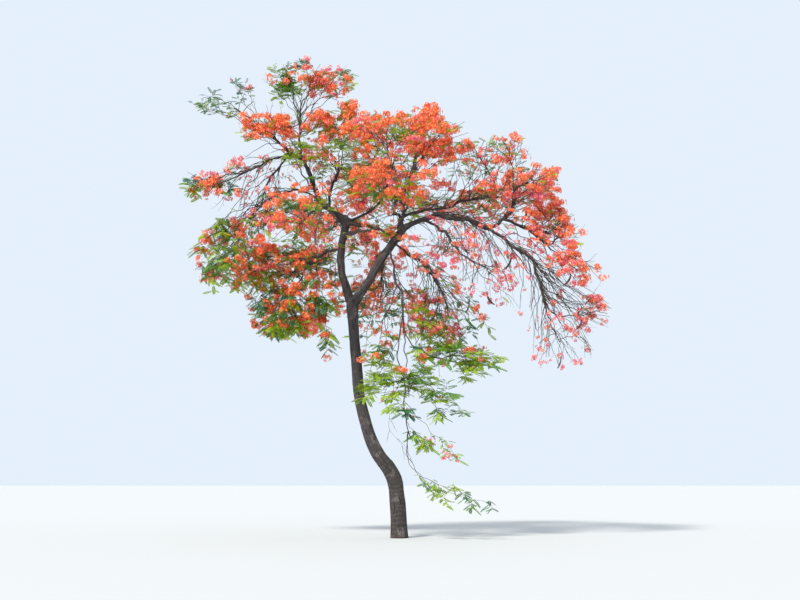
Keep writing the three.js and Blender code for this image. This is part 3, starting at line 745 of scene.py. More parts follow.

# %% [markdown]
# The trunk is one closed tube on its own middle line. It flares into buttresses at the foot,
# swells where it forks, and carries the marks of its life: the scars of lost limbs and creases
# where it bent. They are set one by one at the places where they show, which noise could not do.
# Every corner also keeps its place on the unrolled bark, for the material to read.

# %% Trunk surface
TRUNK_SIDES = 72
TRUNK_RINGS = 260
FINER = 8  # the line is first worked out with that many points for each ring
FLARE = 0.044
FLARE_HEIGHT = 0.19
BUTTRESSES = 5
BUTTRESS_SHARE = 0.4  # of the flare
TRUNK_DEPTH = 0.0065
FORK_SWELL = 0.032  # how much the trunk swells to take in the two stems
FORK_SWELL_HEIGHT = 0.30
# Scars of lost limbs: height along the trunk, place round it, half height, half width in radians
KNOTS = np.array([
    [1.18, -1.1, 0.07, 0.35], [1.95, -0.7, 0.09, 0.45], [2.62, -2.2, 0.07, 0.40],
    [3.55, -1.4, 0.08, 0.45], [4.45, 0.3, 0.07, 0.40], [4.62, 2.4, 0.08, 0.45],
    [5.30, -1.9, 0.09, 0.50], [2.20, 1.6, 0.09, 0.45],
])
KNOT_RISE = 0.018
HOLLOW, HOLLOW_SHARPNESS = 0.9, 4  # of the dip inside a knot, against the knot itself
CREASES = np.array([1.46, 2.02, 4.02, 5.42])  # where the bark is pinched right round
CREASE_DEPTH, CREASE_WIDTH, CREASE_TILT = 0.009, 0.035, 0.02
ROLL, ROLL_WIDTH = 0.8, 6  # of the soft rolls beside a crease, against the crease itself


def spline_through(rows, count):
    """A Catmull-Rom curve: between two rows, a cubic whose slope at each row is half the way from
    the row before to the row after. It gives count points, evenly spread over the rows."""
    padded = np.concatenate([2 * rows[:1] - rows[1:2], rows, 2 * rows[-1:] - rows[-2:-1]])
    place = np.linspace(0, len(rows) - 1, count)
    cell = np.minimum(place.astype(int), len(rows) - 2)
    t = (place - cell)[:, None]
    p0, p1, p2, p3 = (padded[cell + k] for k in range(4))
    slope1, slope2 = (p2 - p0) / 2, (p3 - p1) / 2
    return (
        (2 * t**3 - 3 * t**2 + 1) * p1 + (t**3 - 2 * t**2 + t) * slope1
        + (3 * t**2 - 2 * t**3) * p2 + (t**3 - t**2) * slope2
    )


def scars(angle, along):
    """How far the knots and creases stand out. A knot is a bump less a narrower bump, which leaves
    a lip round a hollow; a crease is a narrow bump turned inwards, with a soft roll on each side."""
    turn = np.angle(np.exp(1j * (angle[..., None] - KNOTS[:, 1])))
    far = ((along[..., None] - KNOTS[:, 0]) / KNOTS[:, 2]) ** 2 + (turn / KNOTS[:, 3]) ** 2
    knots = KNOT_RISE * (np.exp(-far) - HOLLOW * np.exp(-HOLLOW_SHARPNESS * far)).sum(-1)
    tilt = CREASE_TILT * np.sin(angle)[..., None]
    step = ((along[..., None] - CREASES - tilt) / CREASE_WIDTH) ** 2
    return knots + CREASE_DEPTH * (ROLL * np.exp(-step / ROLL_WIDTH) - np.exp(-step)).sum(-1)


def with_place(piece, angle, radius, along):
    """Stores where each corner lies on its limb: the radius times the cosine and the sine of the
    angle, and the distance along."""
    place = np.stack([radius * np.cos(angle), radius * np.sin(angle), along], axis=-1)
    attribute = piece.data.attributes.new("bark_place", "FLOAT_VECTOR", "POINT")
    attribute.data.foreach_set("vector", place.astype(np.float32).ravel())


def lengths_along(line):
    """The distance from the line's start to each of its points."""
    steps = np.linalg.norm(np.diff(line, axis=0), axis=1)
    return np.concatenate([[0], np.cumsum(steps)])


fine_rows = spline_through(TRUNK_LINE, FINER * TRUNK_RINGS)
fine_rows = fine_rows[fine_rows[:, 2] >= 0]
trunk_rows = fine_rows[np.linspace(0, len(fine_rows) - 1, TRUNK_RINGS).astype(int)]
trunk_along = lengths_along(trunk_rows[:, :3])
trunk_angle = 2 * np.pi * np.arange(TRUNK_SIDES) / TRUNK_SIDES
round_grid, along_grid = np.meshgrid(trunk_angle, trunk_along)
lobes = 1 - BUTTRESS_SHARE + BUTTRESS_SHARE * np.cos(BUTTRESSES * round_grid)
flare = FLARE * lobes * np.exp(-trunk_rows[:, 2:3] / FLARE_HEIGHT)
trunk_radii = trunk_rows[:, 3:4] + flare + relief(round_grid, along_grid, 1, TRUNK_DEPTH)
trunk_radii += scars(round_grid, along_grid)
trunk_radii += FORK_SWELL * np.exp(-(((trunk_rows[:, 2:3] - FORK[2]) / FORK_SWELL_HEIGHT) ** 2))
corners, faces = tubes(trunk_rows[None, :, :3], trunk_radii[None], TRUNK_SIDES)
corners[:TRUNK_SIDES, 2] = 0.0
bark_trunk = new_piece("bark_trunk", corners, faces, [BARK])
with_place(bark_trunk, round_grid.ravel(), trunk_radii.ravel(), along_grid.ravel())
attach(bark_trunk, "root")
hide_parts("trunk")

# %% [markdown]
# The boughs are tubes too, all joined into one piece. A branch swells into a collar where it
# leaves its parent, and without one it looks stuck on. A boolean union would be truer still at
# the joint, but it leaves ragged faces, and the collar hides the joint as well.

# %% Bough surfaces
RING_STEP = 0.05
LEAST_RINGS = 8
SIDES_PER_METRE = 260  # of the radius
FEWEST_SIDES, MOST_SIDES = 12, 28
COLLAR = 0.45  # how much thicker a limb is where it leaves its parent
COLLAR_LENGTH = 1.2  # in root radii
BOUGH_DEPTH = 0.07  # of the radius
STEM_DIP = 0.75  # how much thinner a stem starts, so that its foot lies hidden in the swollen fork
STEM_DIP_LENGTH = 0.12
APART = 7  # metres between the bark that one limb reads and the bark that the next one reads


def parent_radius(name):
    """The radius of the parent where a limb leaves it."""
    parent, at, _, _ = LIMBS[name]
    return TRUNK_LINE[-2, 3] if parent == "trunk" else mixed(*limb_radii[parent], at - SUNK_SHARE)


bough_parts, bough_places = [], []
for seed, (name, curve) in enumerate(limb_curves.items()):
    root_radius, tip_radius = limb_radii[name]
    length = np.linalg.norm(curve[2] - curve[0])
    share = np.linspace(0, 1, max(LEAST_RINGS, round(length / RING_STEP)))
    line = limb_point(name, share)
    along = lengths_along(line)
    side_count = int(np.clip(round(root_radius * SIDES_PER_METRE), FEWEST_SIDES, MOST_SIDES))
    out_of_parent = np.maximum(along - parent_radius(name), 0) / (COLLAR_LENGTH * root_radius)
    swelling = COLLAR * np.exp(-out_of_parent)
    if name.startswith("stem"):
        swelling -= STEM_DIP * np.exp(-along / STEM_DIP_LENGTH)
    radius = mixed(root_radius, tip_radius, share) * (1 + swelling)
    angle_grid, far_grid = np.meshgrid(2 * np.pi * np.arange(side_count) / side_count, along)
    depth = BOUGH_DEPTH * radius[:, None]
    bark_along = far_grid + APART * seed
    rough_radius = radius[:, None] + relief(angle_grid, bark_along, seed + 2, 1.0) * depth
    bough_parts.append(tubes(line[None], rough_radius[None], side_count))
    bough_places.append([angle_grid.ravel(), rough_radius.ravel(), bark_along.ravel()])
bark_boughs = new_piece("bark_boughs", *joined(bough_parts), [BARK])
with_place(bark_boughs, *np.concatenate(bough_places, axis=1))
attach(bark_boughs, "root")
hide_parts(*LIMBS)

# %% [markdown]
# ## Twigs
# The rule that grew the solids is written again here. Each mass of foliage has one stem that goes
# on from its bough's tip to the middle of its space. Twigs leave the stem to all sides, turned by
# the golden angle from one to the next, so that no two lie over each other. Then the rule is
# carried on twice: shoots leave each twig, and short twiglets leave each shoot. Whole batches of
# twigs are grown at once as arrays, with one row for each twig.

# %% Stems and first twigs
# A curve, the radii at root and tip, a mass, the share of sprays in bloom and how rich they are
Twigs = namedtuple("Twigs", "curve root tip mass bloom rich")
HABITS = {False: (1.0, -0.4), True: (0.4, -1.0)}  # highest and lowest heading of dome and weeping
STEM_RADIUS = 0.017
TWIG_RADIUS = 0.010
THIN_END = 0.75
GAP = 0.0003  # between a bough's tip and the stem that goes on from it
STEM_STRAIGHT = 0.4  # of the stem's length, before it turns
STEM_FREE = 0.15  # no twig leaves the first part of a stem
STEM_END = 0.98  # the share of a stem where its topmost twig leaves
ENTRY_STEP = 0.02  # how finely the stem is searched for where it enters its space
TWIG_AREA = 0.52  # of a space's half sizes, multiplied in pairs and added, for each twig
LEAST_TWIGS = 5
TWIG_BOW = 0.1  # how far a twig's middle is raised, of its length
REACH = 0.66  # how far out in the space a twig ends, where 1 is the edge
WAVER = 0.022  # how far a twig strays from its smooth curve, of its length
WAVER_TURNS = (1.7, 3.1)
WAVER_SHIFT = 7  # the second wave starts at that many times the first one's place


def twig_point(curve, share):
    """The point of the twig's curve, plus a sine wave along each of two directions square to its
    chord. Both are faded by the sine of half a turn from root to tip, and start at a place of
    their own, which comes from where the twig ends."""
    start, _, end = curve
    chord, t = end - start, np.asarray(share, float)[..., None]
    across, over = sway_axes(chord)
    place = chance(end @ POINT_STEPS, 0, 19)[..., None]
    first = np.sin(2 * np.pi * (WAVER_TURNS[0] * t + place))
    second = np.sin(2 * np.pi * (WAVER_TURNS[1] * t + WAVER_SHIFT * place))
    fade = WAVER * np.linalg.norm(chord, axis=-1, keepdims=True) * np.sin(np.pi * t)
    return point_on(curve, share) + fade * (first * across + second * over)


def twig_batch(curve, root, tip, mass, bloom=None, rich=1.0):
    """A batch of twigs from a curve of arrays. One radius at each end serves them all, unless there
    is one for each, and they bloom like their masses, unless they are told otherwise."""
    mass = np.asarray(mass)
    bloom = MASS_BLOOM[mass] * GROWN.flush[mass] if bloom is None else bloom
    root, tip, rich = (np.broadcast_to(value, mass.shape).astype(float) for value in (root, tip, rich))
    return Twigs(curve, root, tip, mass, np.asarray(bloom, float), rich)


def edge_distance(mass, points, directions, swell=1.0):
    """How far it is from each point to the edge of its mass's space, made swell times as large: the
    space is made a ball of one unit, and the distance is the larger root of a quadratic."""
    half = MASS_HALF[mass] * swell
    offset, slope = (points - MASS_MIDDLE[mass]) / half, directions / half
    a, b, c = (slope**2).sum(-1), (offset * slope).sum(-1), (offset**2).sum(-1) - 1
    return np.where(c > 0, 0, (np.sqrt(np.maximum(b * b - a * c, 0)) - b) / a)


def stem_curve(name):
    """The stem goes straight on from its bough's tip and then turns to the middle of its space.
    Where two masses share a tip, their stems stand side by side on it."""
    on, middle, _, _ = MASSES[name]
    along = heading_on(limb_curves[on], 1.0)
    sharing = [row[1] for row in MASSES.values() if row[0] == on]
    aside = np.array(middle) - np.mean(sharing, axis=0)
    aside = aside - along * (aside @ along)
    most = limb_radii[on][1] / 2
    aside = aside * min(1, most / max(np.linalg.norm(aside), TINY))
    start = limb_curves[on][2] + along * GAP + aside
    control = start + along * STEM_STRAIGHT * np.linalg.norm(np.array(middle) - start)
    return start, control, np.array(middle)


def first_twigs(order, name):
    """Twig i starts further down the stem the larger i is, and heads for a point on a spiral over
    the mass's space, at a height that falls from the habit's highest to its lowest."""
    stem = stem_curve(name)
    middle, half = MASS_MIDDLE[order], MASS_HALF[order]
    a, b, c = half
    count = max(LEAST_TWIGS, round((a * b + b * c + c * a) / TWIG_AREA))
    shares = np.arange(STEM_FREE, 1, ENTRY_STEP)
    inside = edge_distance(order, point_on(stem, shares), UP) > 0
    entry = shares[np.argmax(inside)]
    i = np.arange(count)
    highest, lowest = HABITS[bool(WEEPS[order])]
    height = mixed(highest, lowest, (i + 0.5) / count)
    heading = spiral_heading(order + i * GOLDEN_ANGLE, height)
    start = point_on(stem, mixed(STEM_END, entry, (i + chance(order, i, 0)) / count))
    target = middle + half * heading * REACH
    rise = TWIG_BOW * np.linalg.norm(target - start, axis=-1, keepdims=True) * UP
    return stem, bowed(start, target, rise)


stem_parts, stem_mass, twig_parts, twig_mass = [], [], [], []
for order, name in enumerate(MASS_NAMES):
    stem, grown = first_twigs(order, name)
    if GROWN.full[order] > 0:
        stem_parts.append(stem)
        stem_mass.append(order)
        twig_parts.append(grown)
        twig_mass += [order] * len(grown[0])
stem_curves = tuple(np.array(column) for column in zip(*stem_parts))
stems = twig_batch(stem_curves, STEM_RADIUS, STEM_RADIUS * THIN_END, stem_mass)
twig_curves = tuple(np.concatenate(column) for column in zip(*twig_parts))
twigs = twig_batch(twig_curves, TWIG_RADIUS, TWIG_RADIUS * THIN_END, twig_mass)
print("grown:", len(stems.mass), "stems and", len(twigs.mass), "first twigs")

# %% [markdown]
# Long thin side twigs also leave the boughs themselves and run out, side by side, to the masses
# ahead of them. They give the drooping side of the crown its combed look. Each one leaves nearly
# along its bough and then bends to a point of the nearest mass that its bough carries.

# %% Side twigs on the boughs
COMBED = ["bough_east", "bough_east_droop", "bough_east_out", "bough_east_rise", "bough_low_east"]
BARE = ["bough_hanging", "bough_low_drop"]
SIDE_STEPS = {"combed": 0.075, "plain": 0.24, "bare": 0.9}  # metres of bough for each side twig
SIDE_SHARES = (0.25, 0.97)
SIDE_HEIGHTS = (0.7, -0.8)
SIDE_LONGEST = 3.4
SIDE_SHORTEST = 0.6
SIDE_RADIUS = 0.011
SIDE_THIN_END = 0.45
SIDE_ALONG, SIDE_LIFT = 0.42, 0.10  # how far its bend lies along the bough and over it
SIDE_REACH = 0.85  # how far out in the space it ends
SIDE_RICH = 0.8
BEHIND = 5.0  # metres by which a mass behind the start counts as further off
LUCKY = 1.5  # and metres by which chance moves any mass further off
SIDE_SEED, INNER_SEED = 50, 90


def mass_numbers(name):
    """The numbers of the masses that a limb carries."""
    return np.array([MASS_NAMES.index(mass) for mass in carried_masses(name)])


def side_twigs(seed, name):
    """Starts spaced evenly along a limb, each joined to a spiral point in the nearest carried mass
    whose middle lies ahead of it. The control point lies along the bough and a little higher."""
    curve = limb_curves[name]
    step = SIDE_STEPS["combed" if name in COMBED else "bare" if name in BARE else "plain"]
    i = np.arange(round(np.linalg.norm(curve[2] - curve[0]) / step))
    share = mixed(*SIDE_SHARES, (i + chance(seed, i, 4)) / len(i))
    start, along = limb_point(name, share), heading_on(curve, share)
    carried = mass_numbers(name)
    away = MASS_MIDDLE[carried][None] - start[:, None]
    behind = (away * along[:, None]).sum(-1) < 0
    luck = chance(seed, i[:, None], carried + 9)
    far = np.linalg.norm(away, axis=-1) + BEHIND * behind + LUCKY * luck
    mass = carried[np.argmin(far, axis=1)]
    heading = spiral_heading(seed + i * GOLDEN_ANGLE, mixed(*SIDE_HEIGHTS, chance(seed, i, 5)))
    target = MASS_MIDDLE[mass] + MASS_HALF[mass] * heading * SIDE_REACH
    length = np.linalg.norm(target - start, axis=-1)
    kept = (length < SIDE_LONGEST) & (length > SIDE_SHORTEST) & (GROWN.full[mass] > 0)
    control = start + (SIDE_ALONG * along + SIDE_LIFT * UP) * length[:, None]
    return start[kept], control[kept], target[kept], mass[kept]


side_parts = [
    side_twigs(SIDE_SEED + seed, name) for seed, name in enumerate(LIMBS) if name.startswith("bough")
]
*side_curve, side_mass = (np.concatenate(column) for column in zip(*side_parts))
sides = twig_batch(
    tuple(side_curve), SIDE_RADIUS, SIDE_RADIUS * SIDE_THIN_END, side_mass, rich=SIDE_RICH,
)
print("grown:", len(sides.mass), "side twigs")

# %% [markdown]
# Between the masses the boughs aren't bare either. Short twigs leave them all along, bend over
# under their own weight and end in a poor bunch or a leaf or two. They are what fills the inside
# of the crown and joins its masses, and they are thin enough to leave the sky open.

# %% Inner twigs
INNER_STEP = 0.17
INNER_SHARES = (0.12, 0.96)
INNER_LENGTHS = (0.35, 1.05)
INNER_ALONG, INNER_ASIDE, INNER_LIFT = 0.7, 0.75, 0.15
INNER_DROP = 0.45  # how far the end of an inner twig sinks, of its length
INNER_RADIUS, INNER_END_RADIUS = 0.010, 0.005
INNER_RICH = 0.35


def inner_twigs(seed, name):
    """Twigs spaced evenly along a limb. Each leaves along it and aside, turned round it by the
    golden angle from the last, and its end sinks by a share of its length."""
    curve = limb_curves[name]
    i = np.arange(round(np.linalg.norm(curve[2] - curve[0]) / INNER_STEP))
    share = mixed(*INNER_SHARES, (i + chance(seed, i, 4)) / len(i))
    start, along = limb_point(name, share), heading_on(curve, share)
    aside = turned(*axes_round(along), (i * GOLDEN_ANGLE + seed)[:, None])
    length = mixed(*INNER_LENGTHS, chance(seed, i, 6))[:, None]
    direction = unit(INNER_ALONG * along + INNER_ASIDE * aside + INNER_LIFT * UP)
    end = start + length * (direction - INNER_DROP * UP)
    carried = mass_numbers(name)
    far = np.linalg.norm(MASS_MIDDLE[carried][None] - end[:, None], axis=-1)
    return start, start + 0.5 * length * direction, end, carried[np.argmin(far, axis=1)]


inner_limbs = [name for name in LIMBS if name.startswith("bough") and name not in BARE]
inner_parts = [inner_twigs(INNER_SEED + seed, name) for seed, name in enumerate(inner_limbs)]
*inner_curve, inner_mass = (np.concatenate(column) for column in zip(*inner_parts))
inners = twig_batch(tuple(inner_curve), INNER_RADIUS, INNER_END_RADIUS, inner_mass, rich=INNER_RICH)
print("grown:", len(inners.mass), "inner twigs")

# %% [markdown]
# Some long twigs stand out so clearly against the sky that chance can't be trusted with them: the
# two branches that cross between the stems, the arcs that carry the tufts of the far left, the
# lines that rain down on the right and the long thread that hangs below the crown. They are set
# one by one, each from its limb to a tip of its own, and so are twigs that carry bloom to places
# which chance leaves bare.

# %% Long twigs
# A limb, the share of its length where the twig leaves, its tip, its bow, its radius at the limb,
# its mass, the share of its sprays that bloom, and how rich they are
LONG_TWIGS = [
    ("stem_west", 0.95, (-0.24, -0.45, 7.96), (0, -0.05, 0.09), 0.074, "heart_front", 0.7, 0.7),
    ("stem_west", 0.8, (-0.52, -0.43, 8.01), (-0.06, -0.05, 0.11), 0.07, "heart_front", 0.7, 0.7),
    ("bough_west", 0.85, (-2.87, 0.3, 10.29), (-0.06, 0, -0.03), 0.028, "heart_left", 0.6, 0.6),
    ("bough_west_tip", 0.42, (-4.59, -0.6, 8.4), (0.07, -0.05, 0.16), 0.018, "west_mid", 0.9, 0.5),
    ("bough_west_drop", 1, (-4.09, 0.3, 8.32), (0.05, 0.05, 0.12), 0.014, "west_mid", 0.9, 0.5),
    ("bough_top", 0.7, (-3.23, 0.1, 12.92), (0.05, 0, -0.05), 0.016, "top", 0, 0.9),
    ("bough_top", 0.85, (-3.12, 0, 12), (0.09, 0, -0.06), 0.013, "top", 0.2, 0.9),
    ("bough_top", 0.72, (-2.09, 0.2, 12.21), (-0.07, -0.05, -0.17), 0.018, "top", 0.9, 1),
    ("bough_plate", 0.9, (-5.43, -0.3, 11.53), (0.03, 0, 0.12), 0.014, "top_left", 0.15, 0.55),
    ("bough_plate", 0.96, (-4.41, -0.3, 12.1), (-0.08, 0, -0.07), 0.013, "top_left", 0.05, 0.8),
    ("bough_plate", 0.92, (-4.08, -0.1, 11.96), (-0.16, 0.05, 0.03), 0.011, "top_left", 0.6, 0.6),
    ("bough_plate", 1, (-3.59, -0.7, 11.49), (0.04, 0, 0), 0.01, "top_left", 0.4, 0.5),
    ("bough_plate", 0.97, (-4.95, 0.5, 11.7), (-0.02, 0.05, 0.1), 0.012, "top_left", 0.1, 0.6),
    ("bough_west_arch", 0.88, (-3.99, -0.8, 10.65), (0.05, -0.05, 0.09), 0.018, "plate_left", 0.9, 0.8),
    ("bough_upper_east", 0.98, (2.85, -0.2, 10.15), (0.04, 0.05, 0.06), 0.02, "east_peak", 0.9, 0.8),
    ("bough_center", 0.98, (0.59, -0.1, 10.74), (-0.05, 0, -0.08), 0.022, "dome_right", 0.8, 0.8),
    ("bough_center", 0.55, (-0.56, 0.2, 10.18), (0.02, 0.05, 0.27), 0.022, "dome_front", 0.7, 0.8),
    ("bough_east_droop", 0.25, (3.98, -0.3, 7.43), (-0.17, -0.08, 0.31), 0.018, "east_low", 1, 0.5),
    ("bough_inner_east", 0.95, (2.92, -0.6, 6.3), (-0.01, 0, -0.09), 0.014, "mid_droop", 1, 0.5),
    ("bough_east_droop", 0.55, (3.63, 0.2, 5.36), (0.04, 0.05, 0.16), 0.012, "east_droop", 1, 0.4),
    ("bough_east_droop", 0.35, (4.14, -0.5, 6.05), (0.05, -0.05, -0.14), 0.016, "east_droop", 1, 0.5),
    ("bough_hanging", 0.97, (1.44, -1.2, 1.28), (-0.44, 0, -0.24), 0.01, "hanging", 0, 0.5),
    ("bough_hanging", 0.96, (2.11, -1.25, 0.98), (-0.62, 0, -0.32), 0.009, "hanging", 0, 0.5),
    ("bough_hanging", 0.3, (0.2, -1.05, 2.21), (-0.42, -0.02, -0.21), 0.006, "hanging", 0, 0),
    ("bough_hanging", 0.86, (0.61, -1.1, 2.56), (-0.09, 0, -0.01), 0.007, "hanging", 0, 0.7),
    ("bough_hanging", 0.72, (1.24, -1.2, 2.35), (0.04, -0.05, -0.12), 0.007, "hanging", 0.4, 0.5),
    ("bough_hanging", 0.45, (1.43, -1, 3.18), (-0.09, 0, -0.21), 0.008, "green_low", 0.5, 0.5),
    ("bough_low_back", 0.92, (-0.76, 1.2, 5.84), (0.04, 0, 0.12), 0.014, "back_low", 0.8, 0.9),
    ("bough_low_back", 0.97, (-0.36, 0.8, 5.07), (0.07, 0, 0.16), 0.013, "back_low", 0.3, 0.9),
    ("bough_low_back", 0.99, (-0.92, 1.2, 5.17), (-0.05, 0.05, 0.15), 0.012, "back_low", 0.1, 0.9),
    ("bough_low_back", 0.85, (-0.2, 1, 5.59), (0.06, 0, 0.1), 0.012, "back_low", 0.7, 0.9),
    ("bough_low_drop", 0.55, (-0.4, -0.2, 4.43), (-0.1, 0, 0.12), 0.012, "green_low", 0.2, 0.9),
    ("bough_low_drop", 0.62, (-0.81, -0.6, 3.77), (-0.12, 0, 0.2), 0.012, "green_low", 0.1, 0.9),
    ("bough_low_drop", 0.45, (0.66, -0.3, 5.22), (0.1, 0, 0.12), 0.012, "low_east", 0.8, 0.9),
    ("bough_low_back", 0.6, (-0.87, 1.6, 8.22), (0.1, 0, 0.1), 0.014, "back_low", 1, 1.3),
    ("bough_low_back", 0.5, (-0.3, 1.4, 8.22), (0.08, 0, 0.1), 0.014, "back_low", 1, 1.3),
    ("bough_low_back", 0.7, (-0.59, 1.6, 7.55), (0.05, 0, 0.1), 0.014, "back_low", 1, 1.3),
    ("bough_back", 0.3, (0.13, 1.2, 8.02), (0.05, 0.05, 0.15), 0.013, "back_low", 1, 1.1),
    ("bough_back", 0.45, (-0.67, 1.8, 8.8), (0.05, 0.05, 0.1), 0.013, "back_high", 1, 1.2),
    ("bough_west_low", 0.98, (-5.05, 0.3, 8.45), (0.06, 0, 0.12), 0.014, "west_low", 0.4, 0.9),
    ("bough_west_low", 0.95, (-4.59, 0.4, 8.2), (0.05, 0, 0.08), 0.012, "west_low", 0.8, 0.9),
    ("bough_west_low", 1, (-5.34, 0.5, 8.02), (0.08, 0, 0.14), 0.014, "west_low", 0.6, 0.9),
    ("bough_west_under", 0.9, (-4.02, 0.9, 6.75), (0.04, 0, 0.16), 0.013, "west_skirt", 0.6, 1),
    ("bough_west_under", 0.97, (-4.3, 0.7, 6.94), (0.04, 0, 0.18), 0.012, "west_skirt", 0.4, 1),
    ("bough_west_under", 0.94, (-3.66, 1.1, 6.62), (0.04, 0, 0.12), 0.012, "west_skirt", 0.7, 1),
    ("bough_west_under", 0.88, (-3.42, 0.8, 6.4), (0.04, 0, 0.14), 0.012, "west_skirt", 0.3, 1),
    ("bough_west", 0.4, (-2.11, -0.1, 7.96), (-0.06, 0, 0.14), 0.01, "heart_left", 0.8, 0.5),
    ("bough_west", 0.7, (-2.7, 0.1, 8.4), (-0.03, 0, 0.16), 0.01, "heart_left", 0.8, 0.6),
    ("stem_west", 0.96, (-0.76, 0, 7.54), (0.02, 0, 0.3), 0.012, "heart_front", 0.8, 0.6),
    ("stem_west", 0.9, (-1.86, -0.1, 7.6), (-0.1, 0, 0.16), 0.01, "heart_left", 0.8, 0.5),
    ("bough_center", 0.98, (0.88, -0.1, 11.4), (-0.05, 0, 0.02), 0.014, "dome_right", 1, 1.3),
    ("bough_center", 0.99, (1.64, 0, 11), (-0.04, 0, 0.1), 0.014, "dome_right", 1, 1.3),
    ("bough_center", 0.9, (0.83, -0.3, 10), (0, 0, -0.04), 0.012, "dome_right", 1, 1.1),
    ("bough_upper_east", 0.8, (1.96, 0.4, 9.92), (-0.02, 0, -0.04), 0.012, "shoulder", 1, 1.1),
    ("bough_upper_east", 0.98, (2.4, 0.3, 10.5), (-0.05, 0, 0), 0.013, "shoulder", 1, 1.2),
    ("bough_top", 0.8, (-3.59, 0.2, 12.4), (0.08, 0, -0.04), 0.01, "top", 1, 0.8),
    ("bough_top", 0.95, (-1.52, 0.2, 12.3), (-0.03, 0, -0.12), 0.012, "top", 1, 1.1),
    ("bough_west_drop", 1, (-3.75, 0.4, 8.1), (0.03, 0, 0.1), 0.013, "west_mid", 1, 1.5),
    ("bough_west_under", 0.96, (-3.69, 0.6, 7.63), (0, 0, 0.1), 0.013, "west_back", 1, 1.5),
    ("bough_west_under", 0.93, (-3.88, 0.6, 7.26), (0, 0, 0.14), 0.013, "west_back", 1, 1.5),
    ("bough_west_under", 0.86, (-3.2, 0.6, 6.1), (0.05, 0, 0.2), 0.013, "west_skirt", 1, 1.5),
    ("bough_west_under", 0.6, (-2.56, 0.5, 7.35), (0, 0, 0.08), 0.012, "west_back", 1, 1.3),
    ("bough_west_under", 0.75, (-2.59, 0.6, 6.95), (0.05, 0, 0.1), 0.012, "west_back", 1, 1.3),
    ("bough_west_under", 0.4, (-1.73, 0.4, 6.75), (-0.05, 0, 0.14), 0.012, "west_back", 1, 1.2),
    ("bough_low_east", 0.6, (0.34, 0.2, 5.75), (0.05, 0, 0.14), 0.012, "low_east", 1, 1.2),
    ("bough_east_out", 0.8, (4.41, 0.2, 8.77), (-0.05, 0, 0.06), 0.012, "east_edge", 1, 1.1),
    ("bough_east_out", 1, (4.77, 0, 7.32), (0.08, 0, 0.1), 0.012, "east_low", 1, 1.3),
    ("bough_center", 0.8, (1.12, 0.3, 9.38), (0, 0, 0.08), 0.012, "dome_right", 1, 1.1),
    ("bough_center_left", 0.4, (-0.99, -0.6, 8.95), (0, 0, 0.06), 0.012, "heart_front", 1, 1.1),
    ("bough_center_left", 0.98, (-0.89, -0.9, 10.54), (-0.06, 0, 0), 0.014, "dome_front", 1, 1.5),
    ("bough_heart_left", 0.98, (-1.9, 0, 11), (-0.05, 0, 0), 0.014, "dome_left", 1, 1.5),
    ("bough_back", 1, (0.35, 1.6, 10.25), (0, 0, 0.1), 0.014, "dome_back", 1, 1.3),
    ("bough_back", 0.98, (-0.85, 1.6, 10.4), (0, 0, 0.1), 0.014, "dome_back", 1, 1.3),
    ("bough_back", 0.96, (-0.25, 1.9, 10.8), (0, 0, 0.06), 0.014, "dome_back", 1, 1.3),
    ("bough_west_under", 0.85, (-2.02, 1, 5.37), (0.1, 0, 0.18), 0.014, "west_skirt", 1, 1.2),
    ("bough_west_under", 0.8, (-2.3, 0.6, 5.95), (0.06, 0, 0.15), 0.013, "west_skirt", 1, 1.2),
    ("bough_top", 0.6, (-1.52, 0.2, 11.55), (-0.06, 0, -0.1), 0.014, "dome_left", 1, 1.4),
    ("bough_top", 0.5, (-2.12, 0, 11.2), (-0.05, 0, -0.08), 0.014, "dome_left", 1, 1.4),
    ("bough_heart_left", 0.95, (-1.3, -0.1, 11.4), (-0.06, 0, 0), 0.013, "dome_left", 1, 1.4),
    ("bough_west_tip", 0.88, (-5.06, -0.3, 9.38), (0.02, 0, 0.1), 0.012, "west_tip", 1, 1.4),
    ("bough_west_tip", 0.94, (-5.36, -0.35, 9.3), (0.02, 0, 0.1), 0.012, "west_tip", 0.9, 1.3),
    ("bough_west_tip", 0.6, (-4.42, -0.3, 9.8), (0.04, 0, 0.03), 0.01, "west_tip", 1, 0.45),
    ("bough_center_left", 0.9, (-0.5, -1.2, 8.9), (-0.02, 0, 0.06), 0.012, "heart_front", 1, 1.2),
    ("bough_center_left", 0.6, (-1.05, -0.6, 8.85), (0.02, 0, 0.06), 0.012, "heart_left", 1, 1.1),
    ("bough_east_droop", 0.95, (3.8, -0.3, 5.25), (0.04, 0, 0.08), 0.011, "east_droop", 1, 0.9),
    ("bough_east_droop", 0.98, (5, -0.3, 5), (-0.04, 0, 0.14), 0.012, "east_droop", 1, 0.9),
    ("bough_upper_east", 0.7, (2.35, 0.3, 9.3), (-0.03, 0, 0.06), 0.012, "east_inner", 1, 1.2),
    ("bough_east_out", 0.45, (3.5, 0, 8.5), (-0.03, 0, 0.06), 0.012, "east_edge", 1, 1.1),
    ("stem_west", 0.7, (-1.75, 0.4, 6.62), (-0.05, 0, 0.1), 0.012, "west_back", 1, 1.2),
    ("stem_west", 0.75, (-1.2, 0.35, 7.95), (0.02, 0, 0.05), 0.011, "back_left", 1, 1.2),
    ("bough_east_out", 0.35, (3.6, -0.1, 8.12), (-0.03, 0, 0.06), 0.012, "east_edge", 1, 1.1),
    ("bough_low_east", 0.98, (1.05, -0.4, 4.35), (0.02, 0, 0.14), 0.011, "green_east", 0.9, 0.9),
    ("bough_center", 0.92, (1, 0, 10.36), (-0.03, 0, 0.04), 0.013, "dome_right", 1, 1.3),
    ("bough_center", 0.86, (1.45, 0.2, 10.27), (-0.04, 0, 0.08), 0.013, "dome_right", 1, 1.3),
    ("bough_center", 0.95, (0.51, -0.3, 10.33), (0.02, 0, 0.02), 0.012, "dome_front", 1, 1.2),
